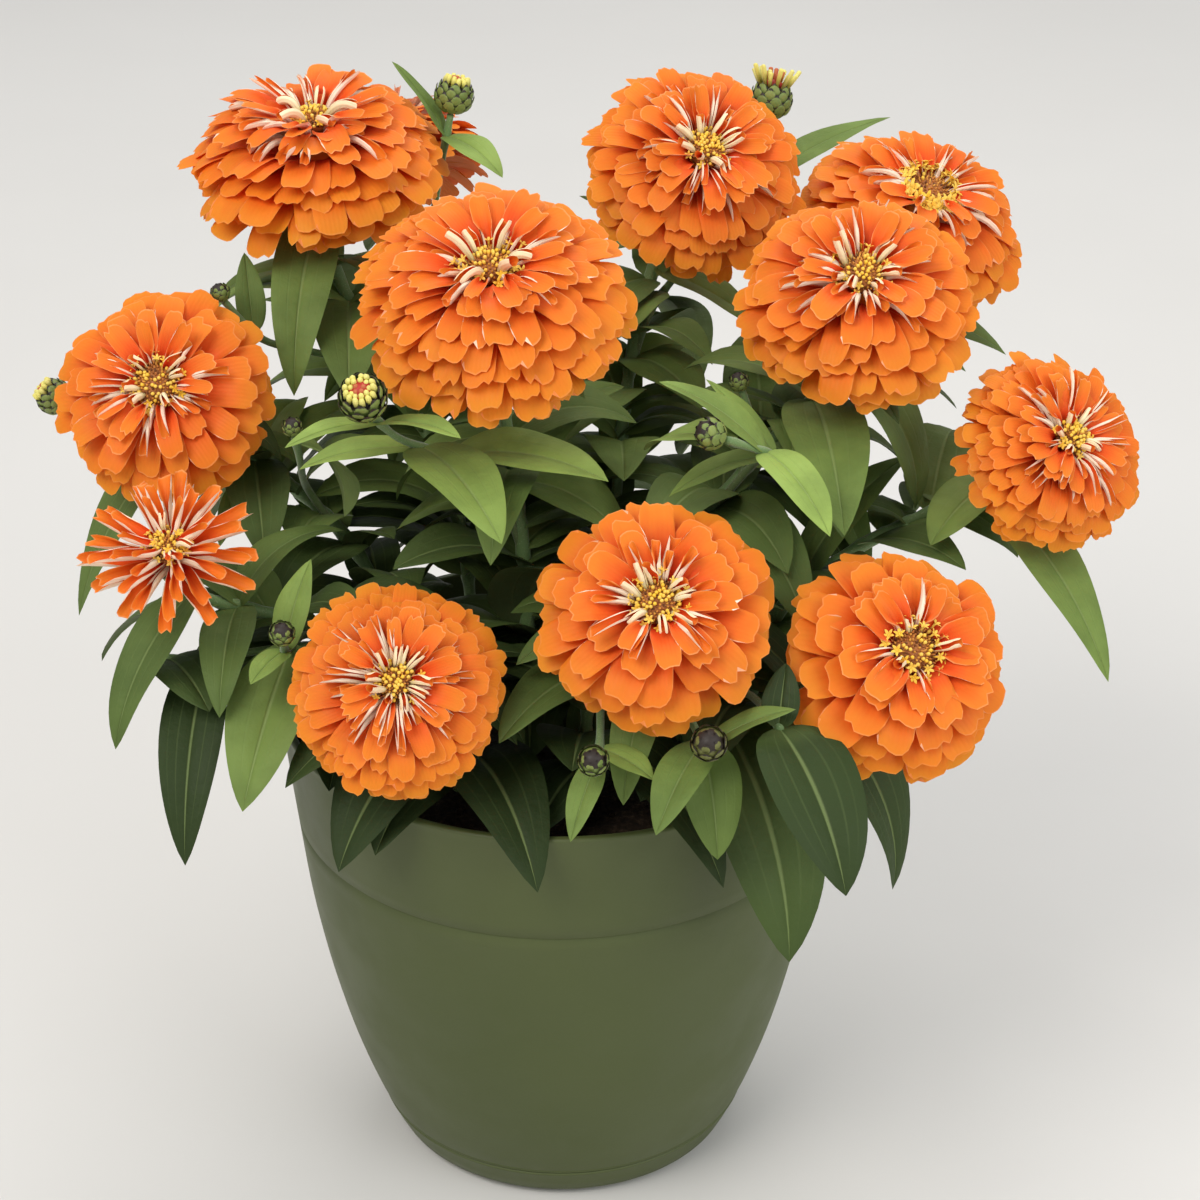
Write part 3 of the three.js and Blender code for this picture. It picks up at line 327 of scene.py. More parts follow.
MOST_CURL = 3.1
CLUB = {"lean": 36, "lean_spread": 30, "length": 0.14, "length_spread": 0.13, "half": 0.1, "end": 0.1}
CLUB_CURLS = (3.3, 2.7, 0.8)
CLUB_TONE = 1.5
PETAL_CORE = 0.13
MID_SHARE = 0.68

# Rows of petals from the lowest up: place among the solids' tiers, petals, half width in shares of
# the radius, the inward curl of the margins at the base and at the tip, and where along it opens.
# Some petals of the inmost rows stay slim and rolled up, so that their pale backs show as strokes.

ROWS = {
    "domed": [(0, 14, 0.145, 0.45, -0.15, 0.7), (0.5, 19, 0.142, 0.4, -0.1, 0.7),
        (1, 21, 0.14, 0.35, -0.05, 0.7), (1.5, 21, 0.134, 0.4, 0, 0.7), (2, 20, 0.127, 0.45, 0.1, 0.7),
        (2.5, 17, 0.12, 0.6, 0.15, 0.65), (3, 15, 0.112, 0.8, 0.2, 0.6), (3.5, 11, 0.1, 1.3, 0.3, 0.6),
        (4, 6, 0.085, 2.2, 0.8, 0.7)],
    "open": [(0, 11, 0.165, 0.45, -0.15, 0.7), (0.7, 15, 0.17, 0.35, -0.1, 0.7),
        (1.4, 15, 0.165, 0.4, -0.05, 0.7), (2.1, 14, 0.15, 0.6, 0.05, 0.65),
        (2.8, 13, 0.135, 0.8, 0.2, 0.6), (3.4, 11, 0.115, 1.3, 0.3, 0.6), (3.9, 6, 0.09, 2.2, 0.8, 0.7)],
    "young": [(0, 12, 0.15, 2.3, 1.9, 0.85), (0.5, 11, 0.145, 2.3, 1.9, 0.85),
        (1, 9, 0.135, 2.3, 2.0, 0.85), (1.5, 8, 0.12, 2.4, 2.1, 0.88), (2, 6, 0.1, 2.6, 2.3, 0.9)],
}

# Each bloom's share of rolled petals, its rows, how slim its petals are, its disc's half width, its
# closed florets, its rings of stars as (place, count), its clubs and the size of its stars

LOOK_FIELDS = ("strokes", "rows", "slim", "disc", "nubs", "stars", "clubs", "star")
BLOOM_LOOKS = named(LOOK_FIELDS, {
    "1": (0.4, "domed", 0.9, 0.14, 0.5, [(1.0, 5)], 5),
    "2": (0.35, "domed", 0.86, 0.17, 0.5, [(0.9, 9), (1.2, 7)], 6, 1.3),
    "3": (0.45, "domed", 0.9, 0.18, 0.7, [(1.05, 7)], 9),
    "4": (0.45, "domed", 1.05, 0.2, 0.35, [(0.8, 6), (1.1, 9)], 7),
    "5": (0.6, "domed", 0.95, 0.22, 0.05, [(0.8, 19), (1.04, 26)], 0, 1.9),
    "6": (0.6, "open", 0.85, 0.2, 0.35, [(0.85, 9), (1.1, 10)], 6),
    "7": (0, "young", 1.0, 0.21, 0.4, [(0.5, 4), (1.0, 8)], 3),
    "8": (0.6, "domed", 0.85, 0.17, 0.5, [(1.0, 5)], 6),
    "9": (0.6, "domed", 0.9, 0.18, 0.45, [(1.1, 5)], 10),
    "10": (0.4, "open", 1.0, 0.19, 0.5, [(0.8, 9), (1.05, 11)], 8),
    "11": (0.22, "open", 1.1, 0.2, 0.3, [(0.75, 10), (1.1, 14)], 3, 1.3),
    "12": (0.3, "domed", 1.0, 0.17, 0.5, [(1.0, 5)], 5),
})

# Rows of a bud's scales, for buds with a crown and without: radius and height of a scale's foot and
# of its tip, in shares of the bud's radius, and how many stand in the row

SCALE_ROWS = {
    True: [(0.44, 0.0, 0.86, 0.5, 8), (0.78, 0.22, 0.99, 0.8, 9), (0.9, 0.5, 1.0, 1.1, 9),
        (0.9, 0.8, 0.93, 1.38, 9), (0.84, 1.1, 0.74, 1.62, 8)],
    False: [(0.48, 0.0, 0.9, 0.62, 6), (0.84, 0.4, 1.0, 1.08, 7), (0.9, 0.8, 0.84, 1.48, 7),
        (0.7, 1.2, 0.42, 1.74, 5)],
}

# How long a crown's quills are, how far they lean out and how thick they are along their length:
# first for bud b, which is the furthest open, then for the others

CROWN_LOOKS = {
    True: (1.0, 0.55, (0.08, 0.1, 0.11, 0.06)),
    False: (0.5, -0.12, (0.12, 0.14, 0.1, 0.03)),
}

# Discs and buds, in shares of the bloom's or bud's radius

DISC_SEAT = 0.5
YOUNG_SEAT = 0.4
DISC_TALL = 0.07
DISC_FALL = 0.85
DISC_CHAFF = 150
RED_BUDS = {"f": 0.6}
CROWN_SEAT = 1.38
BUD_TALL = {True: 1.55, False: 1.75}
GOLDEN_ANGLE = math.pi * (3 - math.sqrt(5))


def seeded(seed):
    state = seed
    while True:
        state = (state * 16807) % 2147483647
        yield state / 2147483647


def direction(azimuth, elevation):
    a = math.radians(azimuth)
    e = math.radians(elevation)
    return np.array([math.cos(a) * math.cos(e), math.sin(a) * math.cos(e), math.sin(e)])


def unit(vector):
    return vector / np.linalg.norm(vector)


def outward(angle):
    return np.array([math.cos(angle), math.sin(angle), 0])


def full_turn(sides):
    return np.arange(sides) * 2 * math.pi / sides


def level_ring(radius, height, sides):
    """The points of a level circle round the Z axis."""
    angle = full_turn(sides)
    return np.stack([np.cos(angle) * radius, np.sin(angle) * radius, np.full(sides, height)], -1)


def outline_radius(height):
    """The planter's outer radius at a height, on straight lines between its points."""
    return np.interp(height, HEIGHTS, RADII)


def turned_to(axis):
    """The matrix that turns +Z to an axis by the shortest way."""
    x, y, z = np.cross([0.0, 0.0, 1.0], axis)
    skew = np.array([[0, -z, y], [z, 0, -x], [-y, x, 0]])
    return np.eye(3) + skew + skew @ skew / (1 + axis[2])


# The plan of the plant


class Route:
    """A stem's line, measured along its length."""

    def __init__(self, points):
        self.points = np.array(points, float)
        steps = np.linalg.norm(np.diff(self.points, axis=0), axis=1)
        self.lengths = np.concatenate([[0], np.cumsum(steps)])
        self.length = self.lengths[-1]

    @classmethod
    def along(cls, curves, step, fewest):
        points = [curves[0][0]]
        for curve in curves:
            pieces = 1 if len(curve) == 2 else ROUTE_STEPS
            points += [bezier(curve, i / pieces) for i in range(1, pieces + 1)]
        fine = cls(points)
        steps = max(fewest, math.ceil(fine.length / step))
        return cls([fine.at(i / steps) for i in range(steps + 1)])

    def stretch_at(self, share):
        wanted = share * self.length
        i = 1
        while i < len(self.points) - 1 and self.lengths[i] < wanted:
            i += 1
        return i, (wanted - self.lengths[i - 1]) / (self.lengths[i] - self.lengths[i - 1])

    def at(self, share):
        i, part = self.stretch_at(share)
        return self.points[i - 1] + (self.points[i] - self.points[i - 1]) * part

    def direction_at(self, share):
        i, _ = self.stretch_at(share)
        return unit(self.points[i] - self.points[i - 1])

    def smooth_at(self, share):
        """The same place on a smooth curve through the route's points."""
        i, t = self.stretch_at(share)
        last = len(self.points) - 1
        p0, p1, p2, p3 = (self.points[min(max(k, 0), last)] for k in range(i - 2, i + 2))
        bent = 2 * p0 - 5 * p1 + 4 * p2 - p3
        turned = 3 * p1 - p0 - 3 * p2 + p3
        return 0.5 * (2 * p1 + (p2 - p0) * t + bent * t * t + turned * t**3)


def bezier(curve, t):
    if len(curve) == 2:
        return curve[0] + (curve[1] - curve[0]) * t
    a, b, c, d = curve
    s = 1 - t
    return a * s**3 + 3 * b * s * s * t + 3 * c * s * t * t + d * t**3


def bloom_base(bloom):
    down = DISC_HEIGHT_SHARE * bloom["across"] / 2
    return np.array(bloom["disc"], float) - direction(*bloom["faces"]) * down


def bloom_place(bloom):
    return turned_to(direction(*bloom["faces"])), bloom_base(bloom)


def bud_place(shoot):
    axis = direction(*shoot["faces"])
    return turned_to(axis), np.array(shoot["end"], float) + axis * GAP


def stem_curves(stem, bloom):
    axis = direction(*bloom["faces"])
    foot = np.array([*stem["root"], SOIL_TOP - HOLE_DEPTH], float)
    collar = foot + [0, 0, STRAIGHT_ROOT]
    above = collar + [0, 0, stem["rise"]]
    end = bloom_base(bloom) - axis * CALYX_STEM_END
    before = end - axis * stem["reach"]
    return [(foot, collar), (collar, above, before, end)]


def shoot_curves(shoot, parent):
    start = parent.at(shoot["share"])
    way = direction(*shoot["faces"])
    end = np.array(shoot["end"], float) - way * SHOOT_SET_BACK
    lead = SHOOT_LEAD * np.linalg.norm(end - start)
    after = start + parent.direction_at(shoot["share"]) * lead
    return [(start, after, end - way * lead, end)]


def leaf_breadth(share):
    return 2.42 * share**0.5 * (1 - share) ** 0.85


def leaf_points(leaf, share, side, lift):
    """Places on a leaf that bends down along its midrib and folds up on both sides of it."""
    pitch, bend, azimuth, roll = (math.radians(leaf[key]) for key in ("pitch", "bend", "azimuth", "roll"))
    fold = math.radians(FOLD)
    here = pitch - bend * share
    out = leaf["length"] * (math.sin(pitch) - np.sin(here)) / bend
    up = leaf["length"] * (np.cos(here) - math.cos(pitch)) / bend
    ahead = outward(azimuth)
    across = np.array([-math.sin(azimuth), math.cos(azimuth), 0])
    zero = np.zeros_like(here)
    normal = np.stack([-np.sin(here) * ahead[0], -np.sin(here) * ahead[1], np.cos(here) + zero], -1)
    sideways = across * math.cos(roll) + normal * math.sin(roll)
    upwards = normal * math.cos(roll) - across * math.sin(roll)
    reach = side * leaf["width"] * leaf_breadth(share) / 2
    height = np.abs(reach) * math.sin(fold) + lift
    point = leaf["base"] + out[..., None] * ahead + up[..., None] * UP
    point = point + (reach * math.cos(fold))[..., None] * sideways
    return point + height[..., None] * upwards


def leaf_samples(leaf):
    along = math.ceil(leaf["length"] / SAMPLE_STEP)
    shares = []
    sides = []
    for i in range(2, along + 1):
        share = i / along
        across = max(1, math.ceil(leaf["width"] * leaf_breadth(share) / 2 / SAMPLE_STEP))
        shares += [share] * (2 * across + 1)
        sides += [j / across for j in range(-across, across + 1)]
    return leaf_points(leaf, np.array(shares), np.array(sides), 0.0)


def route_samples(route):
    count = math.ceil(route.length / SAMPLE_STEP)
    return np.array([route.at(i / count) for i in range(count + 1)])


def bloom_samples(bloom):
    radius = bloom["across"] / 2
    turn, base = bloom_place(bloom)
    points = []
    for tier in [UNDERSIDE, *TIERS[bloom.get("kind", "full")]]:
        hub, mid, tip = np.array(tier, float)
        for out, up in (hub, (hub + mid) / 2, mid, (mid + tip) / 2, tip):
            count = math.ceil(2 * math.pi * out * radius / SAMPLE_STEP)
            points.append(level_ring(out, up, count) * radius)
    return np.concatenate(points) @ turn.T + base


def bud_samples(shoot):
    middle = np.array(shoot["end"], float) + direction(*shoot["faces"]) * shoot["radius"]
    ways = np.concatenate([np.zeros((1, 3)), np.eye(3), -np.eye(3)])
    return middle + ways * shoot["radius"]


class Crowd:
    """What is already in place, so that a new leaf can keep clear of it."""

    def __init__(self):
        self.points = np.zeros((0, 3))
        self.owners = np.zeros(0, "U12")

    def occupy(self, samples, owner):
        self.points = np.concatenate([self.points, samples])
        self.owners = np.concatenate([self.owners, np.full(len(samples), owner, "U12")])

    def near(self, leaf):
        away = np.linalg.norm(self.points - leaf["base"], axis=1)
        own = (self.owners == leaf["owner"]) & (away < OWN_ROOM)
        return self.points[(away < leaf["length"] + leaf["width"]) & ~own]

    def settled(self, leaf):
        others = self.near(leaf)
        squares = (others**2).sum(1)
        for size, turn, tilt in itertools.product(TRIED_SIZES, *TRIED_WAYS[leaf["plain"]]):
            tried = dict(leaf)
            tried["azimuth"] += turn
            tried["pitch"] += tilt
            tried["length"] *= size
            tried["width"] *= size
            samples = leaf_samples(tried)
            if touches_planter(samples, leaf["room"]):
                continue
            apart = (samples**2).sum(1)[:, None] + squares - 2 * samples @ others.T
            if apart.min() >= leaf["room"] ** 2:
                self.occupy(samples, leaf["owner"])
                return tried
        return None


def touches_planter(points, room):
    outer = outline_radius(points[:, 2])
    distance = np.hypot(points[:, 0], points[:, 1])
    over = points[:, 2] > SOIL_TOP + SOIL_MOUND + room
    inside = (distance < outer - WALL - room) & over
    clear = (points[:, 2] > POT_HEIGHT + room) | (distance > outer + room) | inside
    return not clear.all()


def owner_of(name):
    return SHOOTS[name]["stem"] if name in SHOOTS else name


def leaf_on(routes, name, room, *measures, plain=False):
    """A leaf on a stem or shoot. A plain one is made of fewer faces."""
    leaf = dict(zip(LEAF_FIELDS, measures), room=room, route=name, owner=owner_of(name), plain=plain)
    leaf["base"] = routes[name].at(leaf["share"])
    return leaf


def ruled_leaf(routes, name, kind, share, azimuth, length, width, random):
    """A leaf of a kind, with each of its measures drawn about the kind's."""
    turn, tilt, bend, size, roll = (spread * (next(random) - 0.5) for spread in kind["spread"])
    shape = azimuth + turn, kind["pitch"] + tilt, kind["bend"] + bend, length * (1 + size), width, roll
    return leaf_on(routes, name, kind["room"], share, *shape, plain=kind["plain"])


def placed_leaves(table, room, routes, crowd):
    for name, rows in table.items():
        for row in rows:
            yield crowd.settled(leaf_on(routes, name, room, *row, 0))


def paired_leaves(routes, crowd):
    random = seeded(SEED)
    for name, stem in STEMS.items():
        for share, towards, length, width in stem["pairs"]:
            for way in (towards, towards + 180):
                yield crowd.settled(ruled_leaf(routes, name, PAIR, share, way, length, width, random))


def filling_leaves(routes, crowd):
    random = seeded(SEED + 1)
    for name, stem in STEMS.items():
        towards = stem["pairs"][0][1] + 45
        for share in FILLER_SHARES:
            towards += 90
            for way in (towards, towards + 180):
                leaf = ruled_leaf(routes, name, FILLER, share, way, FILLER_LENGTH, FILLER_WIDTH, random)
                end = leaf["base"] + direction(leaf["azimuth"], 0) * leaf["length"]
                if any(end[1] > bound["behind"] and end[2] < bound["under"] for bound in FILLER_BOUNDS):
                    yield crowd.settled(leaf)


def plant_plan():
    routes = {}
    for name, stem in STEMS.items():
        routes[name] = Route.along(stem_curves(stem, BLOOMS[name]), STEM_STEP, FEWEST_STEPS["stem"])
    for name, shoot in SHOOTS.items():
        curves = shoot_curves(shoot, routes[shoot["stem"]])
        routes[name] = Route.along(curves, STEM_STEP, FEWEST_STEPS["shoot"])
    crowd = Crowd()
    for name, route in routes.items():
        crowd.occupy(route_samples(route), owner_of(name))
    for name, bloom in BLOOMS.items():
        crowd.occupy(bloom_samples(bloom), f"bloom {name}")
    for name, shoot in SHOOTS.items():
        if "radius" in shoot:
            crowd.occupy(bud_samples(shoot), f"bud {name}")
    leaves = [*placed_leaves(LEAVES, CLOSE_CLEARANCE, routes, crowd), *paired_leaves(routes, crowd)]
    leaves += placed_leaves(MORE_LEAVES, FILLER["room"], routes, crowd)
    leaves += filling_leaves(routes, crowd)
    return routes, [leaf for leaf in leaves if leaf]


# Meshes


@functools.lru_cache(None)
def sheet_faces(across, along):
    """A closed sheet's faces: a top grid and a bottom grid that share their rim."""
    top = np.arange(across * along).reshape(across, along)
    bottom = top.copy()
    inner = (across - 2) * (along - 2)
    bottom[1:-1, 1:-1] = across * along + np.arange(inner).reshape(across - 2, along - 2)

    def quads(grid):
        corners = grid[:-1, :-1], grid[:-1, 1:], grid[1:, 1:], grid[1:, :-1]
        return np.stack([c.ravel() for c in corners], 1)

    return quads(top), quads(bottom)[:, ::-1]


class Piece:
    """A piece's mesh, gathered from closed sheets, tubes and turned forms."""

    def __init__(self, name, place=(None, None)):
        self.name = name
        self.turn, self.base = place
        self.points, self.places, self.tones = [], [], []
        self.corners, self.totals, self.slots = [], [], []
        self.count = 0

    def add(self, points, faces, places, tones, slot):
        """faces is a list of (array of faces, its material slot offset)."""
        if self.turn is not None:
            points = points @ self.turn.T + self.base
        for rows, offset in faces:
            self.corners.append((rows + self.count).ravel())
            self.totals.append(np.full(len(rows), rows.shape[1]))
            self.slots.append(np.full(len(rows), slot + offset))
        self.points.append(points)
        self.places.append(places)
        self.tones.append(np.broadcast_to(tones, (len(points), 2)))
        self.count += len(points)

    def sheet(self, surface, thickness, places, tones, slot):
        """A closed sheet round a surface given as a grid of points. Its back has the next slot."""
        across, along, _ = surface.shape
        du = np.gradient(surface, axis=0)
        dv = np.gradient(surface, axis=1)
        normal = np.cross(dv, du)
        normal /= np.maximum(np.linalg.norm(normal, axis=-1, keepdims=True), 1e-9)
        raised = surface.copy()
        raised[1:-1, 1:-1] += normal[1:-1, 1:-1] * thickness / 2
        lowered = (surface - normal * thickness / 2)[1:-1, 1:-1]
        points = np.concatenate([raised.reshape(-1, 3), lowered.reshape(-1, 3)])
        inner = places[1:-1, 1:-1].reshape(-1, 2)
        top, bottom = sheet_faces(across, along)
        places = np.concatenate([places.reshape(-1, 2), inner])
        self.add(points, [(top, 0), (bottom, 1)], places, tones, slot)

    def tube(self, line, radii, sides, tones, slot):
        """A closed tube along a line of points, with a radius at each."""
        line = np.asarray(line, float)
        ahead = np.gradient(line, axis=0)
        ahead /= np.linalg.norm(ahead, axis=1, keepdims=True)
        side = np.cross(ahead[0], [0.31, 0.95, 0.07])
        rings = []
        angle = full_turn(sides)
        for place, way, radius in zip(line, ahead, radii):
            side = unit(side - way * (side @ way))
            other = np.cross(way, side)
            offset = np.outer(np.cos(angle) * radius, side) + np.outer(np.sin(angle) * radius, other)
            rings.append(place + offset)
        self.ringed(np.array(rings), tones, slot, line[0], line[-1])

    def ringed(self, rings, tones, slot, start, end):
        """A closed body from rings of points, capped by a point at each end."""
        count, sides, _ = rings.shape
        ids = np.arange(count * sides).reshape(count, sides)
        nxt = np.roll(ids, -1, axis=1)
        walls = [c.ravel() for c in (ids[:-1], nxt[:-1], nxt[1:], ids[1:])]
        low = np.full(sides, count * sides)
        caps = [np.stack([low, nxt[0], ids[0]], 1), np.stack([low + 1, ids[-1], nxt[-1]], 1)]
        points = np.concatenate([rings.reshape(-1, 3), [start], [end]])
        along = np.concatenate([[0], np.cumsum(np.linalg.norm(np.diff(rings.mean(1), axis=0), axis=1))])
        places = np.zeros((len(points), 2))
        places[:-2, 0] = np.tile(np.abs(np.linspace(-1, 1, sides)), count)
        places[:-2, 1] = np.repeat(along / max(along[-1], 1e-6), sides)
        places[-1, 1] = 1
        self.add(points, [(np.stack(walls, 1), 0), (np.concatenate(caps), 0)], places, tones, slot)

    def turned(self, profile, sides, tones, slot):
        """A form turned round Z from (radius, height) points that start and end on the axis."""
        profile = np.asarray(profile, float)
        rings = np.array([level_ring(radius, height, sides) for radius, height in profile[1:-1]])
        self.ringed(rings, tones, slot, UP * profile[0][1], UP * profile[-1][1])

    def make(self, materials, record_slot, *replaced):
        points = np.concatenate(self.points)
        corners = np.concatenate(self.corners)
        totals = np.concatenate(self.totals)
        mesh = bpy.data.meshes.new(self.name)
        mesh.vertices.add(len(points))
        mesh.vertices.foreach_set("co", (points * MM).astype(np.float32).ravel())
        mesh.loops.add(len(corners))
        mesh.loops.foreach_set("vertex_index", corners.astype(np.int32))
        mesh.polygons.add(len(totals))
        starts = np.concatenate([[0], np.cumsum(totals)[:-1]])
        facts = {"loop_start": starts, "loop_total": totals, "material_index": np.concatenate(self.slots)}
        for name, values in facts.items():
            mesh.polygons.foreach_set(name, values.astype(np.int32))
        mesh.polygons.foreach_set("use_smooth", np.ones(len(totals), bool))
        for name, values in (("place", self.places), ("tone", self.tones)):
            layer = mesh.uv_layers.new(name=name)
            layer.data.foreach_set("uv", np.concatenate(values)[corners].astype(np.float32).ravel())
        mesh.update(calc_edges=True)
        part_at_rims(mesh, totals)
        for material in materials:
            mesh.materials.append(material)
        made = placed(self.name, mesh)
        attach(made, "root")
        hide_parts(*replaced)
        return made


def placed(name, data):
    """A new object in the scene."""
    made = bpy.data.objects.new(name, data)
    bpy.context.scene.collection.objects.link(made)
    return made


def part_at_rims(mesh, totals):
    """Marks the edges between two material slots as sharp, so that a sheet's two sides shade apart."""
    edges = np.zeros(len(mesh.loops), np.int32)
    mesh.loops.foreach_get("edge_index", edges)
    slots = np.zeros(len(mesh.polygons), np.int32)
    mesh.polygons.foreach_get("material_index", slots)
    slots = np.repeat(slots, totals)
    least = np.full(len(mesh.edges), 99)
    most = np.full(len(mesh.edges), -1)
    np.minimum.at(least, edges, slots)
    np.maximum.at(most, edges, slots)
    mesh.edges.foreach_set("use_edge_sharp", least < most)


# Materials


class Shader:
    """A material whose nodes are added one by one."""

    def __init__(self, name):
        self.material = bpy.data.materials.new(name)
        self.material.use_nodes = True
        self.tree = self.material.node_tree
        self.tree.nodes.clear()

    def node(self, kind, inputs=None, **settings):
        made = self.tree.nodes.new(kind)
        for key, value in settings.items():
            setattr(made, key, value)
        for key, value in (inputs or {}).items():
            if isinstance(value, bpy.types.NodeSocket):
                self.tree.links.new(value, made.inputs[key])
            else:
                made.inputs[key].default_value = value
        return made

    def math(self, operation, first, second=0.0, clamp=False):
        inputs = {0: first, 1: second}
        return self.node("ShaderNodeMath", inputs, operation=operation, use_clamp=clamp).outputs[0]

    def times(self, first, second):
        return self.math("MULTIPLY", first, second)

    def plus(self, first, second, clamp=False):
        return self.math("ADD", first, second, clamp)

    def minus(self, first, second):
        return self.math("SUBTRACT", first, second)

    def middling(self, value, low, high):
        """A noise's usual range, spread from one value to another."""
        return self.rise(value, 0.3, 0.7, low, high)

    def off_middle(self, across):
        """How far a place lies from a leaf's or petal's middle line, from 0 to 1."""
        return self.math("ABSOLUTE", self.minus(self.times(across, 2.0), 1.0))

    def grained(self, colour, low, high, through=0.0):
        """A matt surface with a fine grain, whose roughness lies between two values."""
        grain = self.noise(1200.0)
        return self.finish(colour, self.middling(grain, low, high), self.bump(grain, 0.3, 0.0003), through)

    def marks(self):
        """The shares across and along that a piece's places carry, and their two tones."""
        found = []
        for name in ("place", "tone"):
            values = self.node("ShaderNodeUVMap", uv_map=name).outputs[0]
            found += self.node("ShaderNodeSeparateXYZ", {0: values}).outputs[:2]
        return found

    def places(self):
        return self.node("ShaderNodeTexCoord").outputs["Object"]

    def noise(self, scale, detail=2.0):
        inputs = {"Scale": scale, "Detail": detail, "Roughness": 0.5, "Vector": self.places()}
        return self.node("ShaderNodeTexNoise", inputs).outputs["Fac"]

    def ramp(self, value, stops):
        made = self.node("ShaderNodeValToRGB", {0: value})
        marks = made.color_ramp.elements
        while len(marks) < len(stops):
            marks.new(0.5)
        for mark, (place, colour) in zip(marks, stops):
            mark.position = place
            mark.color = (*colour, 1)
        return made.outputs[0]

    def mix(self, share, first, second, blend="MIX"):
        inputs = {0: share}
        for key, value in ((6, first), (7, second)):
            inputs[key] = value if isinstance(value, bpy.types.NodeSocket) else (*value, 1)
        return self.node("ShaderNodeMix", inputs, data_type="RGBA", blend_type=blend).outputs[2]

    def rise(self, value, low, high, start=0.0, end=1.0):
        """A smooth step of a value from low to high."""
        inputs = {0: value, 1: low, 2: high, 3: start, 4: end}
        return self.node("ShaderNodeMapRange", inputs, interpolation_type="SMOOTHSTEP").outputs[0]

    def bump(self, height, strength, distance):
        inputs = {"Height": height, "Strength": strength, "Distance": distance}
        return self.node("ShaderNodeBump", inputs).outputs[0]

    def finish(self, colour, roughness, normal=None, through=0.0, **sockets):
        inputs = {"Base Color": colour, "Roughness": roughness}
        if normal:
            inputs["Normal"] = normal
        inputs.update({key.replace("_", " "): value for key, value in sockets.items()})
        surface = self.node("ShaderNodeBsdfPrincipled", inputs).outputs[0]
        if through != 0.0:
            light = self.node("ShaderNodeBsdfTranslucent", {"Color": colour})
            if normal:
                self.tree.links.new(normal, light.inputs["Normal"])
            parts = {0: through, 1: surface, 2: light.outputs[0]}
            surface = self.node("ShaderNodeMixShader", parts).outputs[0]
        self.node("ShaderNodeOutputMaterial", {0: surface})
        return self.material


def plastic_material():
    s = Shader("olive_moulded_plastic")
    broad = s.noise(9.0, 3.0)
    fine = s.noise(900.0)
    colour = s.mix(s.rise(broad, 0.3, 0.7), (0.061, 0.077, 0.021), (0.07, 0.087, 0.025))
    colour = s.mix(s.times(fine, 0.25), colour, (0.084, 0.104, 0.034))
    roughness = s.middling(s.noise(35.0, 4.0), 0.46, 0.56)
    return s.finish(colour, roughness, s.bump(fine, 0.12, 0.0003), Specular_IOR_Level=0.38)


def soil_material():
    s = Shader("potting_mix")
    grains = s.noise(420.0, 4.0)
    clumps = s.noise(60.0, 3.0)
    dark, brown, pale = (0.008, 0.005, 0.003), (0.03, 0.018, 0.01), (0.09, 0.058, 0.034)
    colour = s.ramp(grains, [(0.3, dark), (0.55, brown), (0.8, pale)])
    colour = s.mix(s.rise(clumps, 0.45, 0.7, 0, 0.5), colour, (0.012, 0.008, 0.005))
    normal = s.bump(grains, 0.7, 0.0015)
    return s.finish(colour, s.middling(clumps, 0.85, 0.97), normal, Specular_IOR_Level=0.2)


def nerves(s, side, along):
    """How near a place is to the midrib or to one of the arched side nerves, from 0 to 1."""
    middle = s.rise(side, 0.075, 0.02)
    first = s.rise(s.math("ABSOLUTE", s.minus(side, 0.42)), 0.04, 0.01)
    second = s.rise(s.math("ABSOLUTE", s.minus(side, 0.72)), 0.035, 0.01)
    fade = s.rise(along, 0.95, 0.6)
    arched = s.times(s.plus(first, s.times(second, 0.45)), fade)
    return middle, arched


def leaf_material(name, back):
    s = Shader(name)
    across, along, chance, youth_and_shade = s.marks()
    side = s.off_middle(across)
    middle, arched = nerves(s, side, along)
    patches = s.noise(38.0, 4.0)
    grain = s.noise(700.0, 3.0)
    mood = s.plus(youth_and_shade, s.times(s.minus(chance, 0.5), 0.3), clamp=True)
    # The green runs from dark to pale with the leaf's second tone: partly the leaf's age, partly painted
    # shade on the low leaves
    colour = s.ramp(mood, [
        (0.0, (0.023, 0.039, 0.01)),
        (0.22, (0.05, 0.08, 0.02)),
        (0.5, (0.15, 0.222, 0.052)),
        (1.0, (0.33, 0.46, 0.1)),
    ])
    colour = s.mix(s.rise(patches, 0.35, 0.65, 0.0, 0.3), colour, (0.04, 0.066, 0.018))
    colour = s.mix(s.rise(along, 0.2, 0.0, 0, 0.35), colour, (0.2, 0.28, 0.08))
    colour = s.mix(s.times(arched, 0.09), colour, (0.24, 0.32, 0.11))
    colour = s.mix(s.times(middle, 0.45), colour, (0.28, 0.36, 0.13))
    if back:
        colour = s.mix(0.45, colour, (0.19, 0.25, 0.1))
    puckers = s.times(s.noise(230.0), 1.6)
    nerved = s.plus(middle, s.times(arched, 0.3))
    height = s.minus(s.plus(s.times(grain, 0.35), puckers), nerved)
    if back:
        height = s.times(height, -1.0)
    normal = s.bump(height, 0.55, 0.0006)
    roughness = s.middling(patches, 0.55, 0.68)
    return s.finish(colour, roughness, normal, 0.16, Specular_IOR_Level=0.22)


def stem_material():
    s = Shader("hairy_stem")
    _, along, _, _ = s.marks()
    hairs = s.noise(1500.0)
    broad = s.noise(40.0, 3.0)
    colour = s.mix(broad, (0.1, 0.19, 0.05), (0.17, 0.27, 0.085))
    colour = s.mix(s.rise(along, 0.35, 0.0, 0, 0.5), colour, (0.11, 0.095, 0.04))
    colour = s.mix(s.rise(hairs, 0.58, 0.72, 0, 0.5), colour, (0.35, 0.42, 0.22))
    return s.finish(colour, s.middling(broad, 0.5, 0.64), s.bump(hairs, 0.5, 0.0006), Sheen_Weight=0.3)


def striations(s, across):
    """Fine lines that run the length of a petal."""
    wave = s.math("SINE", s.times(across, 46.0))
    return s.plus(s.times(wave, 0.5), 0.5)


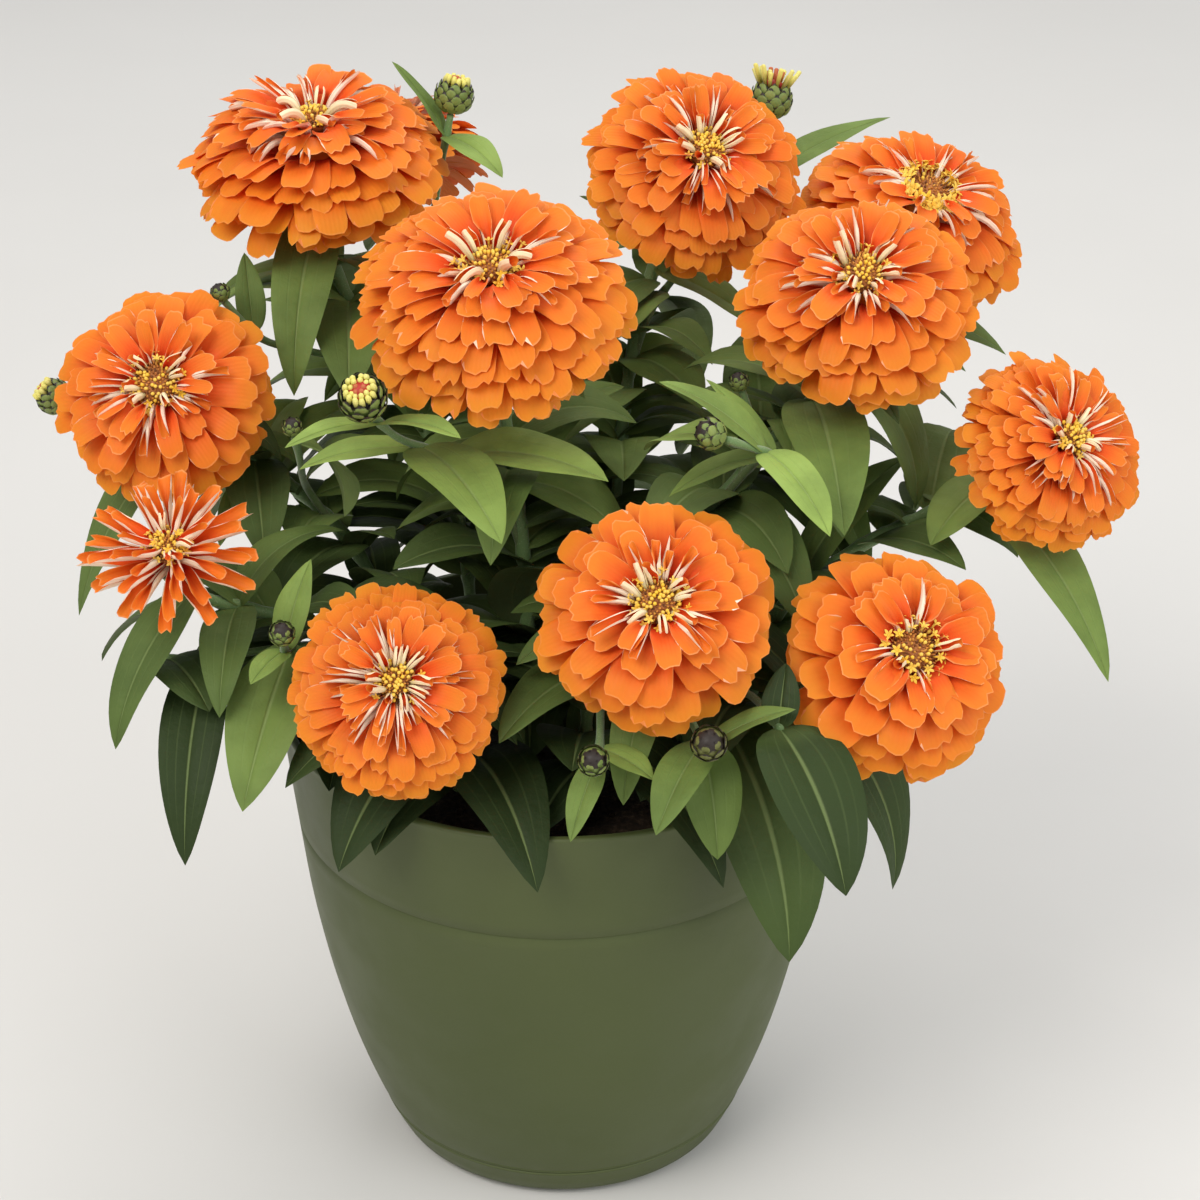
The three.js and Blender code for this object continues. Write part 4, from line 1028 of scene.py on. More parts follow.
def petal_face_material():
    s = Shader("petal_face")
    across, along, chance, inner = s.marks()
    side = s.off_middle(across)
    uneven = s.times(s.minus(s.noise(120.0, 3.0), 0.5), 0.22)
    place = s.plus(along, uneven, clamp=True)
    # Red at the base to golden orange at the tip: partly the petal's own colour, partly painted shade in
    # the creases between rows
    colour = s.ramp(place, [
        (0.1, (0.88, 0.05, 0.012)),
        (0.4, (0.9, 0.095, 0.014)),
        (0.65, (0.92, 0.175, 0.017)),
        (0.96, (0.93, 0.31, 0.024)),
    ])
    lines = striations(s, across)
    colour = s.mix(s.times(lines, 0.07), colour, (0.97, 0.34, 0.05))
    tint = s.mix(chance, (1.0, 0.86, 0.85), (0.98, 1.08, 1.0))
    colour = s.mix(0.7, colour, tint, "MULTIPLY")
    rows_tint = s.mix(s.rise(inner, 0.0, 0.7), (0.98, 1.16, 0.9), (1.0, 0.9, 1.1))
    colour = s.mix(1.0, colour, rows_tint, "MULTIPLY")
    edge = s.math("MAXIMUM", s.rise(side, 0.95, 0.995), s.rise(along, 0.98, 0.998))
    rim = s.times(edge, s.rise(inner, 0.3, 0.9, 0.2, 0.6))
    colour = s.mix(rim, colour, (0.98, 0.55, 0.22))
    height = s.plus(s.times(lines, 0.6), s.times(s.noise(900.0), 0.5))
    roughness = s.middling(s.noise(200.0), 0.5, 0.62)
    return s.finish(colour, roughness, s.bump(height, 0.22, 0.0003), 0.38, Specular_IOR_Level=0.25)


def petal_back_material():
    s = Shader("petal_back")
    across, along, chance, inner = s.marks()
    orange = s.ramp(along, [(0.2, (0.97, 0.26, 0.05)), (0.9, (1.0, 0.4, 0.09))])
    cream = s.mix(s.times(chance, 0.6), (1.0, 0.9, 0.7), (1.0, 0.74, 0.58))
    base, middle, end = (0.75, 0.7, 0.3), (0.98, 0.88, 0.55), (1.0, 0.88, 0.58)
    club = s.ramp(along, [(0.1, base), (0.45, middle), (0.95, end)])
    pale = s.rise(inner, 0.35, 0.75)
    colour = s.mix(pale, orange, cream)
    colour = s.mix(s.rise(inner, 1.1, 1.4), colour, club)
    lines = striations(s, across)
    colour = s.mix(s.times(lines, 0.2), colour, (0.95, 0.55, 0.3))
    roughness = s.middling(s.noise(200.0), 0.52, 0.64)
    through = s.rise(pale, 0.0, 1.0, 0.5, 0.15)
    return s.finish(colour, roughness, s.bump(lines, 0.35, 0.0004), through, Specular_IOR_Level=0.25)


def floret_material():
    s = Shader("yellow_floret")
    _, along, chance, _ = s.marks()
    base = s.mix(s.noise(300.0), (0.55, 0.24, 0.02), (0.72, 0.34, 0.03))
    colour = s.mix(s.rise(along, 0.15, 0.75), base, (0.97, 0.62, 0.045))
    colour = s.mix(s.times(chance, 0.45), colour, (0.98, 0.76, 0.22))
    return s.grained(colour, 0.5, 0.65, 0.15)


def cone_material():
    s = Shader("brown_cone")
    _, along, chance, _ = s.marks()
    brown, russet, gold = (0.14, 0.045, 0.01), (0.52, 0.17, 0.03), (0.75, 0.36, 0.05)
    colour = s.ramp(chance, [(0.1, brown), (0.4, russet), (0.85, gold)])
    colour = s.mix(s.rise(along, 0.6, 0.1, 0.0, 0.6), colour, (0.14, 0.05, 0.012))
    return s.grained(colour, 0.55, 0.7)


def scale_material():
    s = Shader("bud_scale")
    across, along, chance, redness = s.marks()
    side = s.off_middle(across)
    grain = s.noise(900.0, 3.0)
    green = s.mix(grain, (0.1, 0.16, 0.035), (0.22, 0.29, 0.07))
    green = s.mix(s.times(chance, 0.4), green, (0.3, 0.33, 0.08))
    green = s.mix(s.times(redness, 0.7), green, (0.1, 0.03, 0.02))
    reach = s.math("MAXIMUM", s.times(side, s.rise(along, 0.25, 0.6)), along)
    ragged = s.plus(reach, s.times(s.minus(s.noise(1400.0), 0.5), 0.2))
    colour = s.mix(s.rise(ragged, 0.74, 0.86), green, (0.022, 0.014, 0.01))
    roughness = s.middling(grain, 0.48, 0.62)
    return s.finish(colour, roughness, s.bump(grain, 0.4, 0.0004), Specular_IOR_Level=0.4)


def crown_material():
    s = Shader("bud_crown")
    _, along, chance, centre = s.marks()
    colour = s.mix(s.rise(along, 0.1, 0.8), (0.42, 0.42, 0.06), (0.84, 0.74, 0.17))
    colour = s.mix(s.times(chance, 0.4), colour, (0.78, 0.78, 0.32))
    colour = s.mix(centre, colour, (0.5, 0.03, 0.02))
    return s.grained(colour, 0.5, 0.65, 0.12)


def floor_material():
    s = Shader("pale_floor")
    broad = s.noise(1.6, 3.0)
    colour = s.mix(broad, (0.62, 0.6, 0.57), (0.68, 0.665, 0.64))
    return s.finish(colour, s.middling(s.noise(14.0, 3.0), 0.6, 0.7))


# Planter pieces


def smooth_outline(low, high):
    """The planter's outline between two heights, rounded between its points."""
    heights = np.arange(low, high, OUTLINE_STEP)
    slopes = np.gradient(RADII, HEIGHTS)
    points = []
    for height in [*heights, high]:
        i = min(max(int(np.searchsorted(HEIGHTS, height)), 1), len(HEIGHTS) - 1)
        span = HEIGHTS[i] - HEIGHTS[i - 1]
        t = (height - HEIGHTS[i - 1]) / span
        start = (2 * t**3 - 3 * t * t + 1) * RADII[i - 1] + (t**3 - 2 * t * t + t) * span * slopes[i - 1]
        end = (3 * t * t - 2 * t**3) * RADII[i] + (t**3 - t * t) * span * slopes[i]
        points.append((start + end, height))
    return points


def rounded(middle, radius, first, last, steps=5):
    """An arc of a profile from one angle to another, in degrees."""
    angles = np.radians(np.linspace(first, last, steps + 1))
    return [(middle[0] + radius * math.cos(a), middle[1] + radius * math.sin(a)) for a in angles]


def saucer_piece():
    piece = Piece("saucer_shell")
    foot = outline_radius(0)
    top = outline_radius(SAUCER_HEIGHT)
    edge, inner_edge, low_edge = SAUCER_EDGES
    wall = [(r + SAUCER_CROWN * math.sin(math.pi * h / SAUCER_HEIGHT), h) for r, h in smooth_outline(4, 16)]
    profile = [
        (0, 0),
        (foot - SAUCER_FOOT_INSET - 2, 0),
        *rounded((foot - SAUCER_FOOT_INSET - low_edge / 2, low_edge), low_edge, -90, -35),
        *wall,
        *rounded((top - edge, SAUCER_HEIGHT - edge), edge, -10, 90, 4),
        *rounded((top - SAUCER_WALL + inner_edge, SAUCER_HEIGHT - inner_edge), inner_edge, 90, 180, 4),
        (foot - SAUCER_WALL + 1, SAUCER_FLOOR),
        (REST_RING["outer"], SAUCER_FLOOR),
        (REST_RING["outer"], REST_RING["top"]),
        (REST_RING["inner"], REST_RING["top"]),
        (REST_RING["inner"], SAUCER_FLOOR),
        (0, SAUCER_FLOOR),
    ]
    piece.turned(profile, ROUND_SIDES, (0.5, 0.5), 0)
    return piece.make([PLASTIC], "planter_plastic", "saucer")


def pot_piece():
    piece = Piece("pot_shell")
    foot = REST_RING["top"] + GAP
    ledge = SAUCER_HEIGHT + GAP
    edge = outline_radius(ledge)
    low = GROOVE["height"] - GROOVE["half"]
    high = GROOVE["height"] + GROOVE["half"]
    inside = [(r - WALL, h) for r, h in smooth_outline(30, POT_HEIGHT - 8)]
    groove = outline_radius(GROOVE["height"]) - GROOVE["depth"]
    lip = RIM_ROUND
    profile = [
        (0, foot),
        (FOOT_RADIUS, foot),
        (FOOT_TOP_RADIUS, ledge),
        (edge - 0.9, ledge),
        *rounded((edge - 0.6, ledge + 0.9), 0.9, -60, 20, 4),
        *smooth_outline(ledge + 2.5, low - 0.3),
        (groove, GROOVE["height"] - 0.3),
        (groove, GROOVE["height"] + 0.3),
        *smooth_outline(high + 0.3, POT_HEIGHT - lip - 0.4),
        *rounded((RIM_RADIUS - lip, POT_HEIGHT - lip), lip, 5, 90, 5),
        *rounded((RIM_RADIUS - RIM_LIP + lip, POT_HEIGHT - lip), lip, 90, 180, 5),
        *inside[::-1],
        (FOOT_RADIUS - WALL, foot + POT_FLOOR),
        (0, foot + POT_FLOOR),
    ]
    piece.turned(profile, ROUND_SIDES, (0.5, 0.5), 0)
    made = piece.make([PLASTIC], "planter_plastic", "pot")
    drill_drains(made, foot)
    return made


def drill_drains(pot, foot):
    """Cuts the drain holes through the pot's floor."""
    drills = Piece("drills")
    for i in range(DRAIN["count"]):
        angle = (i + 0.5) * 2 * math.pi / DRAIN["count"]
        place = outward(angle) * DRAIN["circle"]
        ends = [place + [0, 0, foot - 2], place + [0, 0, foot + POT_FLOOR + 2]]
        drills.tube(ends, [DRAIN["radius"]] * 2, DRAIN["sides"], (0.5, 0.5), 0)
    points = np.concatenate(drills.points) * MM
    corners = np.concatenate(drills.corners)
    totals = np.concatenate(drills.totals)
    faces = np.split(corners, np.cumsum(totals)[:-1])
    mesh = bpy.data.meshes.new("drills")
    mesh.from_pydata(points.tolist(), [], [f.tolist() for f in faces])
    cutter = placed("drills", mesh)
    cut = pot.modifiers.new("drains", "BOOLEAN")
    cut.operation = "DIFFERENCE"
    cut.solver = "EXACT"
    cut.object = cutter
    bpy.context.view_layer.update()
    cut_mesh = bpy.data.meshes.new_from_object(pot.evaluated_get(bpy.context.evaluated_depsgraph_get()))
    pot.modifiers.clear()
    pot.data = cut_mesh
    bpy.data.objects.remove(cutter)


def soil_height(x, y):
    """The height of the potting mix, which rises towards the middle in small lumps."""
    edge = outline_radius(SOIL_TOP) - WALL - SOIL_EDGE_GAP
    share = min(1.0, math.hypot(x, y) / edge)
    lumps = noise.fractal(Vector((x, y, 3.0)) / LUMP_LENGTH, 0.8, 2.1, 4)
    rise = SOIL_MOUND * (1 - share * share) * MOUND_SHARE
    return SOIL_TOP + rise + LUMP_HEIGHT * lumps * (1 - share**8)


def soil_piece():
    piece = Piece("soil_bed")
    edge = outline_radius(SOIL_TOP) - WALL - SOIL_EDGE_GAP
    bottom = REST_RING["top"] + POT_FLOOR + 2 * GAP
    sides = [(FOOT_RADIUS - WALL - GAP, bottom)]
    sides += [(outline_radius(h) - WALL - 2 * GAP - 0.6, h) for h in SOIL_SIDE_HEIGHTS]
    rings = [level_ring(radius, height, SOIL_SIDES) for radius, height in sides]
    for i in range(SOIL_RINGS):
        ring = level_ring(edge * (1 - i / SOIL_RINGS), 0.0, SOIL_SIDES)
        rings.append([(x, y, soil_height(x, y)) for x, y, _ in ring])
    piece.ringed(np.array(rings), (0.5, 0.5), 0, [0, 0, bottom], [0, 0, soil_height(0, 0)])
    random = np.random.default_rng(SEED)
    for _ in range(CRUMBS):
        radius = (edge - 4) * math.sqrt(random.random())
        turn = random.random() * 2 * math.pi
        x, y, _ = radius * outward(turn)
        size = CRUMB_SIZE[0] + CRUMB_SIZE[1] * random.random() ** 2
        middle = np.array([x, y, soil_height(x, y) + 0.3 * size])
        way = direction(random.random() * 360, random.random() * 60 - 30)
        line = [middle + way * size * k for k in (-1, -0.5, 0.4, 1)]
        widths = [size * k * (0.8 + 0.4 * random.random()) for k in (0.3, 0.85, 0.8, 0.25)]
        piece.tube(line, widths, 5, (random.random(), 0.5), 0)
    return piece.make([SOIL], "soil", "soil")


# Foliage


def leaf_onto(piece, leaf, route, random):
    """Adds a veined leaf with a groove along its midrib and softly waved margins."""
    count, sides = LEAF_GRIDS[leaf["plain"]]
    stations = np.linspace(0, 1, count) ** 1.15
    stations[0] = 0.004
    stations[-1] = 0.999
    share, side = np.meshgrid(stations, sides)
    phase = random.random(2) * 2 * math.pi
    size = min(1.0, leaf["width"] / BROAD_LEAF)
    waves = np.where(side > 0, np.sin(9 * share + phase[0]), np.sin(8 * share + phase[1]))
    lift = LEAF_WAVE * size * waves * np.abs(side) ** 1.6 * np.sin(math.pi * share) ** 0.7
    lift -= LEAF_GROOVE * np.exp(-((side / 0.08) ** 2)) * np.sin(math.pi * share) ** 0.5
    lift -= LEAF_HOLLOW * leaf["width"] * side**2 * leaf_breadth(share)
    here = dict(leaf)
    here["base"] = leaf["base"] + route.smooth_at(leaf["share"]) - route.at(leaf["share"])
    surface = leaf_points(here, share, side, lift)
    tones = random.random(), youth_and_shade_of(leaf, random)
    piece.sheet(surface, LEAF_THICKNESS, spread_over(side, share), tones, FOLIAGE_SLOTS["leaf"])


def youth_and_shade_of(leaf, random):
    """How young a leaf is, with painted shade on the low ones: those near a bud are the palest, and the low
    broad ones, darkened also as painted shade under the blooms, the darkest.
    """
    if leaf["route"] in SHOOTS:
        return SHOOT_YOUTH_AND_SHADE[leaf["route"]] + YOUTH_SPREAD * random.random()
    if leaf["share"] > TOP_LEAF["above"] and leaf["width"] < TOP_LEAF["slimmer"]:
        return TOP_LEAF["youth_and_shade"] + TOP_LEAF["spread"] * random.random()
    return np.interp(leaf["base"][2], *YOUTH_AND_SHADE_BY_HEIGHT) + YOUTH_SPREAD * random.random()


def stem_onto(piece, route, radius, knots):
    """Adds a round stem that swells where leaves leave it."""
    count = max(8, math.ceil(route.length / STEM_PIECE))
    shares = np.linspace(0, 1, count + 1)
    line = [route.smooth_at(share) for share in shares]
    radii = []
    for share in shares:
        swell = sum(math.exp(-(((share - k) * route.length / KNOT_LENGTH) ** 2)) for k in knots)
        radii.append(radius * (1 - STEM_TAPER * share) * (1 + KNOT_SWELL * min(swell, 1.0)))
    piece.tube(line, radii, STEM_ROUND, (0.5, 0.0), FOLIAGE_SLOTS["stem"])


def bract_ring(piece, count, turn, low, tip, half, thickness, red, slot, random):
    """Adds a ring of rounded scales round Z, from a low place to a tip place in a radial plane."""
    grid_u = np.linspace(-1, 1, 5)
    grid_v = np.linspace(0, 1, 6)
    v, u = np.meshgrid(grid_v, grid_u)
    low = np.array(low, float)
    tip = np.array(tip, float)
    middle = (low + tip) / 2 + np.array([0.16, -0.02]) * np.linalg.norm(tip - low)
    way = (1 - v) ** 2, 2 * v * (1 - v), v * v
    end = 1 - 0.3 * np.abs(u) ** 2.2
    reach = way[0] * low[0] + way[1] * middle[0] + way[2] * tip[0]
    rise = way[0] * low[1] + way[1] * middle[1] + way[2] * tip[1]
    rise = low[1] + (rise - low[1]) * end
    narrowed = np.where(v > 0.6, 1 - 0.35 * ((v - 0.6) / 0.4) ** 2, 1)
    width = half * (0.75 + 0.25 * np.sin(math.pi * v)) * narrowed
    for i in range(count):
        angle = (i + turn) * 2 * math.pi / count + u * width
        surface = np.stack([reach * np.cos(angle), reach * np.sin(angle), rise], -1)
        piece.sheet(surface, thickness, spread_over(u, v), (random.random(), red), slot)


def calyx_onto(piece, bloom, random):
    """Adds the scaly cup that holds a bloom, in the bloom's own axes."""
    piece.turn, piece.base = bloom_place(bloom)
    wide = CUP_SHARE * bloom["across"] / 2
    cup = [(0, -12), (2.4, -12), (wide * 0.75, -8), (wide * 0.95, -3), (wide * 0.8, 0.4), (0, 0.4)]
    piece.turned(cup, 16, (0.5, 0.3), FOLIAGE_SLOTS["stem"])
    rows = [
        ((3.2, -11.5), (wide * 0.93, -5.5)),
        ((wide * 0.7, -8.5), (wide * 1.05, -2.4)),
        ((wide * 0.9, -5.5), (wide * 1.12, 0.6)),
    ]
    for k, (low, tip) in enumerate(rows):
        bract_ring(piece, 9, k / 2, low, tip, 0.36, 0.4, 0.0, FOLIAGE_SLOTS["scale"], random)
    piece.turn = piece.base = None


def foliage_piece(name, routes, leaves):
    piece = Piece(f"foliage_{name}")
    random = np.random.default_rng(SEED + int(name))
    own = [leaf for leaf in leaves if leaf["owner"] == name]
    for route in [name, *(letter for letter, shoot in SHOOTS.items() if shoot["stem"] == name)]:
        knots = sorted({leaf["share"] for leaf in own if leaf["route"] == route})
        stem_onto(piece, routes[route], STEM_RADIUS if route == name else SHOOT_RADIUS, knots)
    calyx_onto(piece, BLOOMS[name], random)
    for leaf in own:
        leaf_onto(piece, leaf, routes[leaf["route"]], random)
    materials = [LEAF_FACE, LEAF_BACK, STEM, STEM, SCALE, SCALE]
    return piece.make(materials, "foliage", f"leafy_stem_{name}")


# Blooms


def between_tiers(tiers, place):
    """A row's three places, between two of the solids' tiers."""
    low = min(int(place), len(tiers) - 2)
    part = place - low
    return np.array(tiers[low]) * (1 - part) + np.array(tiers[low + 1]) * part


def petal_line(start, mid, tip, v):
    """A curve in the radial plane through a start, a middle and a tip place."""
    m = MID_SHARE
    first = start + (mid - start) * 0.45
    known = (1 - m) ** 3 * start + 3 * (1 - m) ** 2 * m * first + m**3 * tip
    second = (mid - known) / (3 * (1 - m) * m * m)
    return bezier((start, first, second, tip), v[..., None])


def spread_over(u, v):
    """A sheet's places, from its grid's shares across (-1 to 1) and along."""
    return np.stack([(u + 1) / 2, v], -1)


def ring_angles(count, spread, random):
    """Angles round a ring, each moved on by a drawn part of a step."""
    for i in range(count):
        yield (i + spread * random.random()) * 2 * math.pi / count


def smooth_step(value):
    value = np.clip(value, 0, 1)
    return value * value * (3 - 2 * value)


def petal_surface(radius, line_places, angle, half, curls, random, rounded_end=0.85):
    """A petal's grid of points: a strap that widens to a blunt, shallowly notched end.
    Its margins roll in at the base, each by its own amount, and open out towards the end."""
    start, mid, tip = line_places
    base_curl, tip_curl, opens = curls
    grid_u = np.sin(math.pi / 2 * np.linspace(-1, 1, PETAL_ACROSS))
    grid_v = np.linspace(0, 1, PETAL_ALONG) ** 0.85
    v, u = np.meshgrid(grid_v, grid_u)
    cap = (1 - np.abs(u) ** PETAL_BLUNT) ** (1 / PETAL_BLUNT)
    notches = np.zeros(PETAL_ACROSS)
    notches[3:-3] = PETAL_NOTCH * random.random(PETAL_ACROSS - 6) ** 2.2
    end = 1 - rounded_end * half / np.linalg.norm(tip - start) * (1 - cap) - notches[:, None]
    end += 0.03 * (random.random() - 0.5) * u
    place = v * end
    droop = np.array([0.0, 1.0]) * (random.random() - 0.5) * PETAL_SPREAD["droop"]
    long = 1 + PETAL_SPREAD["length"] * (random.random() - 0.5)
    line = petal_line(start, mid * long, tip * long + droop, place) * radius
    ahead = petal_line(start, mid * long, tip * long + droop, place + 0.01) * radius - line
    ahead /= np.linalg.norm(ahead, axis=-1, keepdims=True)
    foot = 0.35 if base_curl < 1.2 else 0.65
    width = half * radius * (foot + (1 - foot) * smooth_step(v / 0.65)) * (0.92 + 0.16 * random.random())
    margins = np.minimum(base_curl * (1 + PETAL_SPREAD["curl"] * (random.random(2) - 0.5)), MOST_CURL)
    opened = smooth_step((v - opens) / 0.3 + 0.5)
    curl = np.where(u < 0, *margins) * (1 - opened) + tip_curl * opened
    curl = np.where(np.abs(curl) < 0.05, 0.05, curl)
    roll = (0.1 + PETAL_SPREAD["roll"] * (random.random() - 0.5)) * v
    sideways = width * np.sin(curl * u) / curl
    upwards = width * (1 - np.cos(curl * u)) / curl
    lateral = sideways * np.cos(roll) - upwards * np.sin(roll)
    raised = sideways * np.sin(roll) + upwards * np.cos(roll)
    lateral = lateral + PETAL_SPREAD["sway"] * radius * (random.random() - 0.5) * v * v
    out = line[..., 0] - ahead[..., 1] * raised
    up = line[..., 1] + ahead[..., 0] * raised
    c, s = math.cos(angle), math.sin(angle)
    surface = np.stack([out * c - lateral * s, out * s + lateral * c, up], -1)
    return surface, spread_over(u, v)


def petals_piece(name, bloom):
    piece = Piece(f"rays_{name}", bloom_place(bloom))
    looks = BLOOM_LOOKS[name]
    radius = bloom["across"] / 2
    random = np.random.default_rng(SEED + 100 * int(name))
    tiers = TIERS[bloom.get("kind", "full")]
    top = len(tiers) - 1
    for k, (place, count, half, *curls) in enumerate(ROWS[looks["rows"]]):
        share = place / top
        hub, mid, tip = between_tiers(tiers, place)
        lean = max(0.0, place - 3.0)
        mid = mid + np.array([0.06, -0.02]) * lean
        tip = tip + np.array([0.12, -0.1]) * lean + np.array([0.01, 0.05])
        start = np.array([0.12, 0.03 + 0.43 * share])
        if 0 < place < top:
            start = start + (hub - start) * 0.35
        count = round(count / looks["slim"])
        for i in range(count):
            angle = (i + 0.5 * (k % 2) + 0.35 * (random.random() - 0.5)) * 2 * math.pi / count
            stroke = random.random() < looks["strokes"] and place > STROKE["from"]
            broad = half * looks["slim"] * (STROKE["slim"] if stroke else 1)
            rolled = STROKE["curls"] if stroke else curls
            reach = STROKE["short"] * (0.75 + 0.5 * random.random()) if stroke else 1
            line = start, start + (mid - start) * reach, start + (tip - start) * reach
            surface, places = petal_surface(radius, line, angle, broad, rolled, random)
            inner = 0.7 + 0.3 * share if looks["rows"] == "young" or stroke else share
            piece.sheet(surface, PETAL_THICKNESS, places, (random.random(), inner), 0)
    for i in range(looks["clubs"]):
        angle = (i + 0.7 * (random.random() - 0.5)) * 2 * math.pi / looks["clubs"]
        start = np.array([looks["disc"] * 0.8, DISC_SEAT + 0.02])
        lean = math.radians(CLUB["lean"] + CLUB["lean_spread"] * random.random())
        way = np.array([math.sin(lean), math.cos(lean)])
        length = CLUB["length"] + CLUB["length_spread"] * random.random()
        line = start, start + way * length * 0.6 + np.array([0.0, 0.02]), start + way * length
        shape = CLUB["half"], CLUB_CURLS, random, CLUB["end"]
        surface, places = petal_surface(radius, line, angle, *shape)
        piece.sheet(surface, PETAL_THICKNESS, places, (random.random(), CLUB_TONE), 0)
    core = PETAL_CORE * radius
    profile = [(0, 0), (core * 0.9, 0), (core, 0.2 * radius), (core * 0.8, 0.38 * radius)]
    piece.turned([*profile, (0, 0.4 * radius)], 16, (0.5, 0.2), 0)
    return piece.make([PETAL_FACE, PETAL_BACK], "petals", f"bloom_petals_{name}")


def star_onto(piece, base, way, length, size, random):
    """Adds a small tubular floret that ends in a star of five recurved lobes."""
    chance = random.random()
    steps = np.array([0, 0.45, 0.8, 1.0])
    line = [base + way * length * step for step in steps]
    piece.tube(line, np.array([0.35, 0.42, 0.55, 0.65]), 6, (chance, 0.5), 0)
    side = unit(np.cross(way, [0.3, 0.2, 0.9]))
    other = np.cross(way, side)
    top = base + way * length
    v, u = np.meshgrid(np.linspace(0, 1, 4), np.linspace(-1, 1, 3))
    for i in range(5):
        angle = i * 2 * math.pi / 5 + chance
        out = side * math.cos(angle) + other * math.sin(angle)
        width = 0.5 * np.sin(math.pi * (0.25 + 0.7 * v))
        reach = 0.4 + 1.6 * v
        height = 0.75 * np.sin(1.9 * v)
        surface = reach[..., None] * out + (u * width)[..., None] * np.cross(way, out)
        surface = top + (surface + height[..., None] * way) * size
        piece.sheet(surface, 0.25, spread_over(u, 0.8 + 0.2 * v), (chance, 0.5), 0)


def disc_piece(name, bloom):
    """The middle of a bloom: a low dome of brown chaff and closed florets, and yellow stars round it."""
    piece = Piece(f"florets_{name}", bloom_place(bloom))
    looks = BLOOM_LOOKS[name]
    radius = bloom["across"] / 2
    random = np.random.default_rng(SEED + 7 * int(name))
    seat = (YOUNG_SEAT if looks["rows"] == "young" else DISC_SEAT) * radius
    wide = looks["disc"] * radius
    tall = DISC_TALL * radius
    dome = [(0, seat - 5), (wide * 0.7, seat - 5), (wide, seat)]
    dome += [(wide * 0.75, seat + 0.6 * tall), (wide * 0.4, seat + tall), (0, seat + 1.1 * tall)]
    piece.turned(dome, 18, (0.3, 0.5), 2)

    def on_dome(out, share):
        return out * wide * share + UP * (seat + tall * (1 - DISC_FALL * min(share, 1) ** 2))

    for i in range(DISC_CHAFF):
        share = math.sqrt((i + 0.5) / DISC_CHAFF)
        out = outward(i * GOLDEN_ANGLE)
        place = on_dome(out, share)
        way = unit(out * (0.2 + 0.7 * share) + UP + 0.4 * (random.random(3) - 0.5))
        if random.random() < looks["nubs"] * (1.3 - share):
            line = [place, place + way * 1.2, place + way * 2.2, place + way * 2.7]
            piece.tube(line, [0.5, 0.7, 0.85, 0.4], 6, (random.random(), 0.0), 0)
        else:
            line = [place, place + way * 0.9, place + way * (1.4 + random.random())]
            piece.tube(line, [0.65, 0.55, 0.15], 4, (random.random(), 0.5), 2)
    for share, count in looks["stars"]:
        for angle in ring_angles(count, 0.6, random):
            out = outward(angle)
            way = unit(out * (0.2 + 0.5 * share) + UP + 0.35 * (random.random(3) - 0.5))
            length = (0.05 + 0.04 * random.random()) * radius
            star_onto(piece, on_dome(out, share), way, length, looks.get("star", 1.1), random)
    return piece.make([FLORET, FLORET, CONE], "florets", f"bloom_disc_{name}")


# Buds


def bud_piece(letter, shoot):
    piece = Piece(f"scales_{letter}", bud_place(shoot))
    r = shoot["radius"]
    random = np.random.default_rng(SEED + 31 * ord(letter))
    red = RED_BUDS.get(letter, 0.0)
    tall = BUD_TALL["crown" in shoot]
    body = [(0, 0), (0.42 * r, 0.02 * r), (0.8 * r, 0.35 * r), (0.9 * r, 0.75 * r), (0.8 * r, 1.15 * r)]
    body += [(0.5 * r, (tall - 0.12) * r), (0, (tall - 0.02) * r)]
    piece.turned(body, 20, (0.2, red), 0)
    for k, (low_radius, low, tip_radius, tip, count) in enumerate(SCALE_ROWS["crown" in shoot]):
        ends = (low_radius * r, low * r), (tip_radius * r, tip * r)
        bract_ring(piece, count, k / 2, *ends, 0.95 * math.pi / count, 0.05 * r, red, 0, random)
    return piece.make([SCALE, SCALE], "bud_scales", f"bud_{letter}")


def crown_piece(letter, shoot):
    """The first petals of an opening bud: short quills in a ring round a red middle."""
    piece = Piece(f"quills_{letter}", bud_place(shoot))
    r = shoot["radius"]
    random = np.random.default_rng(SEED + 53 * ord(letter))
    seat = CROWN_SEAT * r
    long, lean, thick = CROWN_LOOKS[letter == "b"]
    middle = [(0, seat), (0.5 * r, seat), (0.45 * r, seat + 0.3 * r), (0, seat + 0.42 * r)]
    piece.turned(middle, 14, (0.3, 1.0), 0)
    for share, count in ((0.2, 5), (0.4, 9), (0.62, 13)):
        for angle in ring_angles(count, 0.4, random):
            out = outward(angle)
            base = out * share * r + UP * seat
            way = unit(out * lean * share / 0.6 + UP + 0.12 * (random.random(3) - 0.5))
            length = r * long * (0.75 + 0.35 * random.random()) * (0.8 + 0.3 * share)
            line = [base, base + way * length * 0.6, base + way * length, base + way * length * 1.05]
            redness = 0.85 if share < 0.3 else 0.0
            piece.tube(line, np.array(thick) * r, 6, (random.random(), redness), 0)
    return piece.make([CROWN], "florets", f"bud_crown_{letter}")


# Stage, lights and camera


